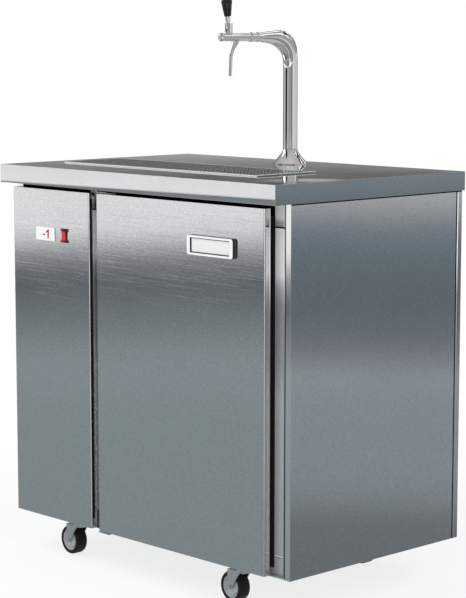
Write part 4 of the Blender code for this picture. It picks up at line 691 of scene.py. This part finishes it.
def finish_nodes():
    smooth = smooth_group()
    for name, node in NODES.items():
        node.data.materials.clear()
        node.data.materials.append(FINISHES[name])
        dress(node, smooth, SOFT_EDGES.get(name, 0.0) * MM)
    for name, rules in SIDE_FINISHES.items():
        for axis, sign, finish in rules:
            along = "XYZ".index(axis)
            finish_where(NODES[name].data, finish, lambda normal: normal[along] * sign > LOOKS_ALONG)
    # Painted shade: the label frame's side faces, which look across the front, are black.
    finish_where(NODES["label_plate_frame"].data, BLACK_PLASTIC, lambda normal: abs(normal.y) < LOOKS_ACROSS)


# Small pieces

# Depths just in front of the frame, and the frame's two upper joints along X
STRIP_DEPTH = (-0.2556, -0.2543)
LINE_DEPTH = (-0.2547, -0.2540)
FRAME_JOINTS = ((-0.2230, -0.1630), (0.4305, 0.4768))
# Depth of the painted highlight on the front of the drip tray's rim
TRAY_FRONT = (-0.1726, -0.1716)
# Outlines of the display's signs in X and Z, and their depth
DIGIT_BACK, DIGIT_FRONT = -0.2911, -0.2914
DASH = ((-0.3711, 0.8345), (-0.3605, 0.8345), (-0.3605, 0.8380), (-0.3711, 0.8380))
ONE = (
    (-0.3517, 0.8265), (-0.3467, 0.8265), (-0.3457, 0.8500), (-0.3493, 0.8500), (-0.3577, 0.8435),
    (-0.3571, 0.8405), (-0.3515, 0.8435),
)
# The painted shade round the label: a black line in the gap between its frame and insert
LABEL_LINE_WIDTH = 0.0016
LABEL_LINE_DEPTH = 0.0002
# The grille's slots: how many, the plain border, how far each end leans, and the slot as shares of its cell
SLOTS_ACROSS, SLOTS_DEEP = 60, 15
GRILLE_BORDER = 0.006
SLOT_LEAN = 0.0030
SLOT_SHIFT = 0.07
SLOT_HALF_LENGTH = 0.36
SLOT_CORNERS = ((0.34, 0.14), (0.80, 0.14), (0.80, 0.86), (0.34, 0.86))
CELL_CORNERS = ((0, 0), (1, 0), (1, 1), (0, 1))
SAME_POINT = 0.00001


def mesh_piece(name, bm, material, body):
    mesh = bpy.data.meshes.new(name)
    bm.to_mesh(mesh)
    bm.free()
    piece = bpy.data.objects.new(name, mesh)
    bpy.context.scene.collection.objects.link(piece)
    mesh.materials.append(material)
    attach(piece, body)
    return piece


def plate(outline, back, front):
    """A flat prism in the XZ plane between two depths."""
    bm = bmesh.new()
    face = bm.faces.new([bm.verts.new((x, back, z)) for x, z in outline])
    made = bmesh.ops.extrude_face_region(bm, geom=[face])
    for vert in made["geom"]:
        if isinstance(vert, bmesh.types.BMVert):
            vert.co.y = front
    bmesh.ops.recalc_face_normals(bm, faces=bm.faces)
    return bm


def boxes(*spans):
    """A mesh of boxes, each given by its (low, high) along X, Y and Z."""
    bm = bmesh.new()
    for box in spans:
        for vert in bmesh.ops.create_cube(bm, size=1.0)["verts"]:
            vert.co = Vector([low + (at + 0.5) * (high - low) for at, (low, high) in zip(vert.co, box)])
    return bm


def both_sides(inner, outer):
    """The same span of X on the left and on the right."""
    return (-outer, -inner), (inner, outer)


def shadow_and_joint_strips():
    """Painted shadow: black strips in the gaps above the cover and the door, and black lines along the right
    panel's front edge, at the cabinet's rear edges and under the worktop; and dark lines at the frame's joints."""
    above = [(wide, STRIP_DEPTH, (0.9420, 0.9635)) for wide in ((-0.4915, -0.2225), (-0.1965, 0.4290))]
    beside_door = ((0.4080, 0.4290), STRIP_DEPTH, (0.9000, 0.9420))
    joints = [(wide, LINE_DEPTH, (0.9058, 0.9096)) for wide in FRAME_JOINTS]
    panel_front = ((0.4766, 0.4790), (-0.2700, -0.2690), (0.1040, 0.9630))
    rear_and_top = []
    for side in both_sides(0.4930, 0.4953):
        rear_and_top.append((side, (0.2993, 0.3030), (0.1005, 0.9636)))
        rear_and_top.append((side, (-0.2690, 0.3200), (0.9606, 0.9640)))
    bm = boxes(*above, beside_door, *joints, panel_front, *rear_and_top)
    strips = mesh_piece("frame_shadow_and_joint_strips", bm, SHADOW_AND_JOINT_BLACK, "cabinet")


def painted_highlight_lines():
    """Painted highlights: thin light lines on the cabinet's rear edges and its right stile, the door's free edge,
    and the frame's joints.
    """
    rear = [(side, (0.3032, 0.3068), (0.1020, 0.9600)) for side in both_sides(0.4940, 0.4954)]
    stile = ((0.4586, 0.4608), (-0.2547, -0.2541), (0.1040, 0.9600))
    mesh_piece("cabinet_edge_painted_highlights", boxes(*rear, stile), LIP_HIGHLIGHT_STEEL, "cabinet")
    free_edge = ((0.4290, 0.4303), (-0.2732, -0.2704), (0.1030, 0.9500))
    mesh_piece("door_edge_painted_highlight", boxes(free_edge), LIP_HIGHLIGHT_STEEL, "door")
    foot = ((0.4306, 0.4600), LINE_DEPTH, (0.1464, 0.1480))
    joints = [(wide, LINE_DEPTH, (0.9044, 0.9058)) for wide in FRAME_JOINTS]
    mesh_piece("frame_painted_highlight_lines", boxes(foot, *joints), HIGHLIGHT_WHITE, "cabinet")


def tray_painted_highlight():
    """A painted highlight: a thin light line along the front and the right end of the drip tray's rim."""
    front = ((-0.42725, 0.28625), TRAY_FRONT, (1.0104, 1.0124))
    right = ((0.28560, 0.28650), (TRAY_FRONT[1], 0.0240), (1.0128, 1.0138))
    mesh_piece("drip_tray_painted_highlight", boxes(front, right), HIGHLIGHT_WHITE, "cabinet")


def display_digits():
    """The reading on the temperature display, a minus sign and a one."""
    for name, outline in (("display_dash", DASH), ("display_one", ONE)):
        shape = plate(outline, DIGIT_BACK, DIGIT_FRONT)
        mesh_piece(name, shape, DARK_RED, "cabinet")


def label_gap_shade():
    """Painted shade: a black line in the gap between the label plate's frame and its insert."""
    low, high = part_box("label_plate_insert")
    deep = (low[1] - LABEL_LINE_DEPTH, low[1] + LABEL_LINE_DEPTH)
    left, right = low[0] + LABEL_LINE_WIDTH, high[0] - LABEL_LINE_WIDTH
    bm = boxes(
        ((low[0], left), deep, (low[2], high[2])),
        ((right, high[0]), deep, (low[2], high[2])),
        ((left, right), deep, (low[2], low[2] + LABEL_LINE_WIDTH)),
        ((left, right), deep, (high[2] - LABEL_LINE_WIDTH, high[2])),
    )
    mesh_piece("label_plate_gap_shade", bm, BLACK_PLASTIC, "door")


def ring_faces(bm, outer, inner, material_index=0):
    """Faces between two loops of four vertices each."""
    for side in range(4):
        after = (side + 1) % 4
        face = bm.faces.new((outer[side], outer[after], inner[after], inner[side]))
        face.material_index = material_index


def slotted_grille():
    """The grille over the drip tray: a sheet with rows of short slots that lean left and right by turns."""
    low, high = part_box("drip_tray_grille")
    start_x, start_y = low[0] + GRILLE_BORDER, low[1] + GRILLE_BORDER
    end_x, end_y = high[0] - GRILLE_BORDER, high[1] - GRILLE_BORDER
    step_x = (high[0] - low[0] - 2 * GRILLE_BORDER) / SLOTS_ACROSS
    step_y = (high[1] - low[1] - 2 * GRILLE_BORDER) / SLOTS_DEEP
    bm = bmesh.new()

    def loop(corners, z):
        return [bm.verts.new((x, y, z)) for x, y in corners]

    for row in range(SLOTS_DEEP):
        lean = SLOT_LEAN if row % 2 else -SLOT_LEAN
        for column in range(SLOTS_ACROSS):
            x, y = start_x + column * step_x, start_y + row * step_y
            cell = [(x + dx * step_x, y + dy * step_y) for dx, dy in CELL_CORNERS]
            slot = [
                (x + dx * step_x + lean * (dy - 0.5) / SLOT_HALF_LENGTH - SLOT_SHIFT * step_x, y + dy * step_y)
                for dx, dy in SLOT_CORNERS
            ]
            upper = loop(slot, high[2])
            ring_faces(bm, loop(cell, high[2]), upper)
            # The slot walls take the second finish, painted shade.
            ring_faces(bm, upper, loop(slot, low[2]), 1)
    edge = ((low[0], low[1]), (high[0], low[1]), (high[0], high[1]), (low[0], high[1]))
    inner = ((start_x, start_y), (end_x, start_y), (end_x, end_y), (start_x, end_y))
    upper = loop(edge, high[2])
    ring_faces(bm, upper, loop(inner, high[2]))
    ring_faces(bm, loop(edge, low[2]), upper)
    bmesh.ops.remove_doubles(bm, verts=bm.verts, dist=SAME_POINT)
    bmesh.ops.recalc_face_normals(bm, faces=bm.faces)
    grille = mesh_piece("grille_sheet", bm, MESH_STEEL, "grille")
    grille.data.materials.append(MESH_SLOT_SHADE)
    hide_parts("drip_tray_grille")


# World, lights, floor and camera


def nearness(tree, azimuth, centre, half, soft):
    """1 within half degrees of an azimuth, falling to 0 over soft degrees more."""
    turned = math_node(tree, "SUBTRACT", azimuth, centre)
    away = math_node(tree, "ABSOLUTE", math_node(tree, "WRAP", turned, 180.0, -180.0))
    return fall_between(tree, away, half, half + soft)


def drapes(tree, direction):
    """Where dark drapes hang before the windows: 1 in a drape, 0 outside."""
    noise = tree.nodes.new("ShaderNodeTexNoise")
    noise.inputs["Scale"].default_value = DRAPE_SCALE
    noise.inputs["Detail"].default_value = 1.0
    link(tree, direction, noise.inputs["Vector"])
    return rise_between(tree, noise.outputs["Fac"], *DRAPE_EDGE)


def studio_colour(tree):
    """The studio in every direction, as the metal mirrors it."""
    coordinate = tree.nodes.new("ShaderNodeTexCoord")
    parts = place_parts(tree, "Generated")
    elevation = product(tree, math_node(tree, "ARCSINE", parts["Z"]), 180.0 / math.pi)
    azimuth = product(tree, math_node(tree, "ARCTAN2", parts["Y"], parts["X"]), 180.0 / math.pi)
    near = {
        name: nearness(tree, azimuth, *wide) for name, wide in (
            ("front", FRONT_WIDE), ("back", BACK_WIDE), ("panel", PANEL_WIDE), ("windows", WINDOWS_WIDE),
            ("stand", STAND_WIDE), ("lamp", LAMP_WIDE),
        )
    }

    def starts(span):
        return rise_between(tree, elevation, *span)

    def ends(span):
        return fall_between(tree, elevation, *span)

    ring = graded(tree, azimuth, [(at, (tone, tone, tone)) for at, tone in RING_SKY])
    high = product(tree, starts(HIGH_START), ends(HIGH_END))
    panel = product(tree, high, near["panel"], ends(PANEL_END))
    windows = product(tree, high, near["windows"], starts(WINDOWS_START), ends(WINDOWS_END))
    covered = product(tree, windows, drapes(tree, coordinate.outputs["Generated"]))
    colour = graded(tree, elevation, SIDE_SKY)
    for share, layer in (
        (starts(RING_START), ring),
        (starts(TOP_START), graded(tree, elevation, TOP_SKY)),
        (near["back"], graded(tree, elevation, BACK_SKY)),
        (product(tree, near["front"], ends(FRONT_END)), graded(tree, elevation, FRONT_SKY)),
        (panel, PANEL_GLOW),
        (windows, WINDOWS_GLOW),
        (covered, DRAPE_DARK),
        (product(tree, high, near["stand"]), STAND_DARK),
        (product(tree, near["lamp"], ends(LAMP_END)), graded(tree, elevation, LAMP_SKY)),
    ):
        colour = mix_colour(tree, share, colour, layer)
    return colour


def background(tree, colour, strength=1.0):
    node = tree.nodes.new("ShaderNodeBackground")
    feed(tree, colour, node.inputs["Color"])
    node.inputs["Strength"].default_value = strength
    return node.outputs["Background"]


def mix_shader(tree, fac, first, second):
    node = tree.nodes.new("ShaderNodeMixShader")
    for source, target in zip((fac, first, second), node.inputs):
        link(tree, source, target)
    return node.outputs["Shader"]


def make_world():
    """White for the camera, an even sky for matt surfaces and the studio for what mirrors."""
    world = bpy.data.worlds.new("studio")
    bpy.context.scene.world = world
    world.use_nodes = True
    world.cycles.sampling_method = "NONE"
    tree = world.node_tree
    tree.nodes.clear()
    rays = tree.nodes.new("ShaderNodeLightPath").outputs
    studio = background(tree, studio_colour(tree))
    matt = mix_shader(tree, rays["Is Diffuse Ray"], studio, background(tree, SOFT_SKY, SOFT_SKY_STRENGTH))
    seen = mix_shader(tree, rays["Is Camera Ray"], matt, background(tree, WHITE))
    output = tree.nodes.new("ShaderNodeOutputWorld")
    link(tree, seen, output.inputs["Surface"])


def soft_light(name, place, power):
    """A square lamp that looks at the counter's middle and shows in no mirror."""
    light = bpy.data.lights.new(name, "AREA")
    light.shape = "SQUARE"
    light.size = LAMP_SIZE
    light.energy = power
    lamp = bpy.data.objects.new(name, light)
    lamp.location = place
    lamp.rotation_euler = (Vector(LAMP_TARGET) - lamp.location).to_track_quat("-Z", "Y").to_euler()
    bpy.context.scene.collection.objects.link(lamp)
    lamp.visible_glossy = False
    lamp.visible_camera = False


def make_floor():
    """A round paper floor that takes the shadow and, for the camera, fades to white away from the counter."""
    bm = bmesh.new()
    bmesh.ops.create_circle(bm, cap_ends=True, segments=96, radius=FLOOR_RADIUS)
    mesh = bpy.data.meshes.new("floor")
    bm.to_mesh(mesh)
    bm.free()
    floor = bpy.data.objects.new("floor", mesh)
    bpy.context.scene.collection.objects.link(floor)
    material, tree, shader = new_material("floor_paper")
    paper = noise_colour(tree, grain(tree, 40.0), (0.93, 0.93, 0.93), (0.95, 0.95, 0.95), 0.0, 1.0)
    link(tree, paper, shader.inputs["Base Color"])
    shader.inputs["Roughness"].default_value = 0.9
    shader.inputs["Specular IOR Level"].default_value = 0.0
    place = tree.nodes.new("ShaderNodeTexCoord")
    length = vector_node(tree, "LENGTH", place.outputs["Object"])
    away = map_range(tree, length.outputs["Value"], *FLOOR_FADE, FLOOR_LEAST_FADE, 1.0, smooth=True)
    rays = tree.nodes.new("ShaderNodeLightPath")
    glow = tree.nodes.new("ShaderNodeEmission")
    glow.inputs["Color"].default_value = WHITE
    fade = product(tree, away, rays.outputs["Is Camera Ray"])
    both = mix_shader(tree, fade, shader.outputs["BSDF"], glow.outputs["Emission"])
    link(tree, both, tree.nodes["Material Output"].inputs["Surface"])
    mesh.materials.append(material)
    floor.visible_glossy = False


def make_camera():
    data = bpy.data.cameras.new("camera")
    data.lens = CAMERA_LENS
    data.sensor_width = CAMERA_SENSOR
    camera = bpy.data.objects.new("camera", data)
    camera.location = CAMERA_PLACE
    camera.rotation_euler = CAMERA_TURN
    bpy.context.scene.collection.objects.link(camera)
    bpy.context.scene.camera = camera


bpy.context.scene.view_settings.view_transform = "Standard"
make_camera()
make_world()
make_floor()
for name, place, power in LAMPS:
    soft_light(name, place, power)
finish_nodes()
shadow_and_joint_strips()
painted_highlight_lines()
tray_painted_highlight()
display_digits()
label_gap_shade()
slotted_grille()
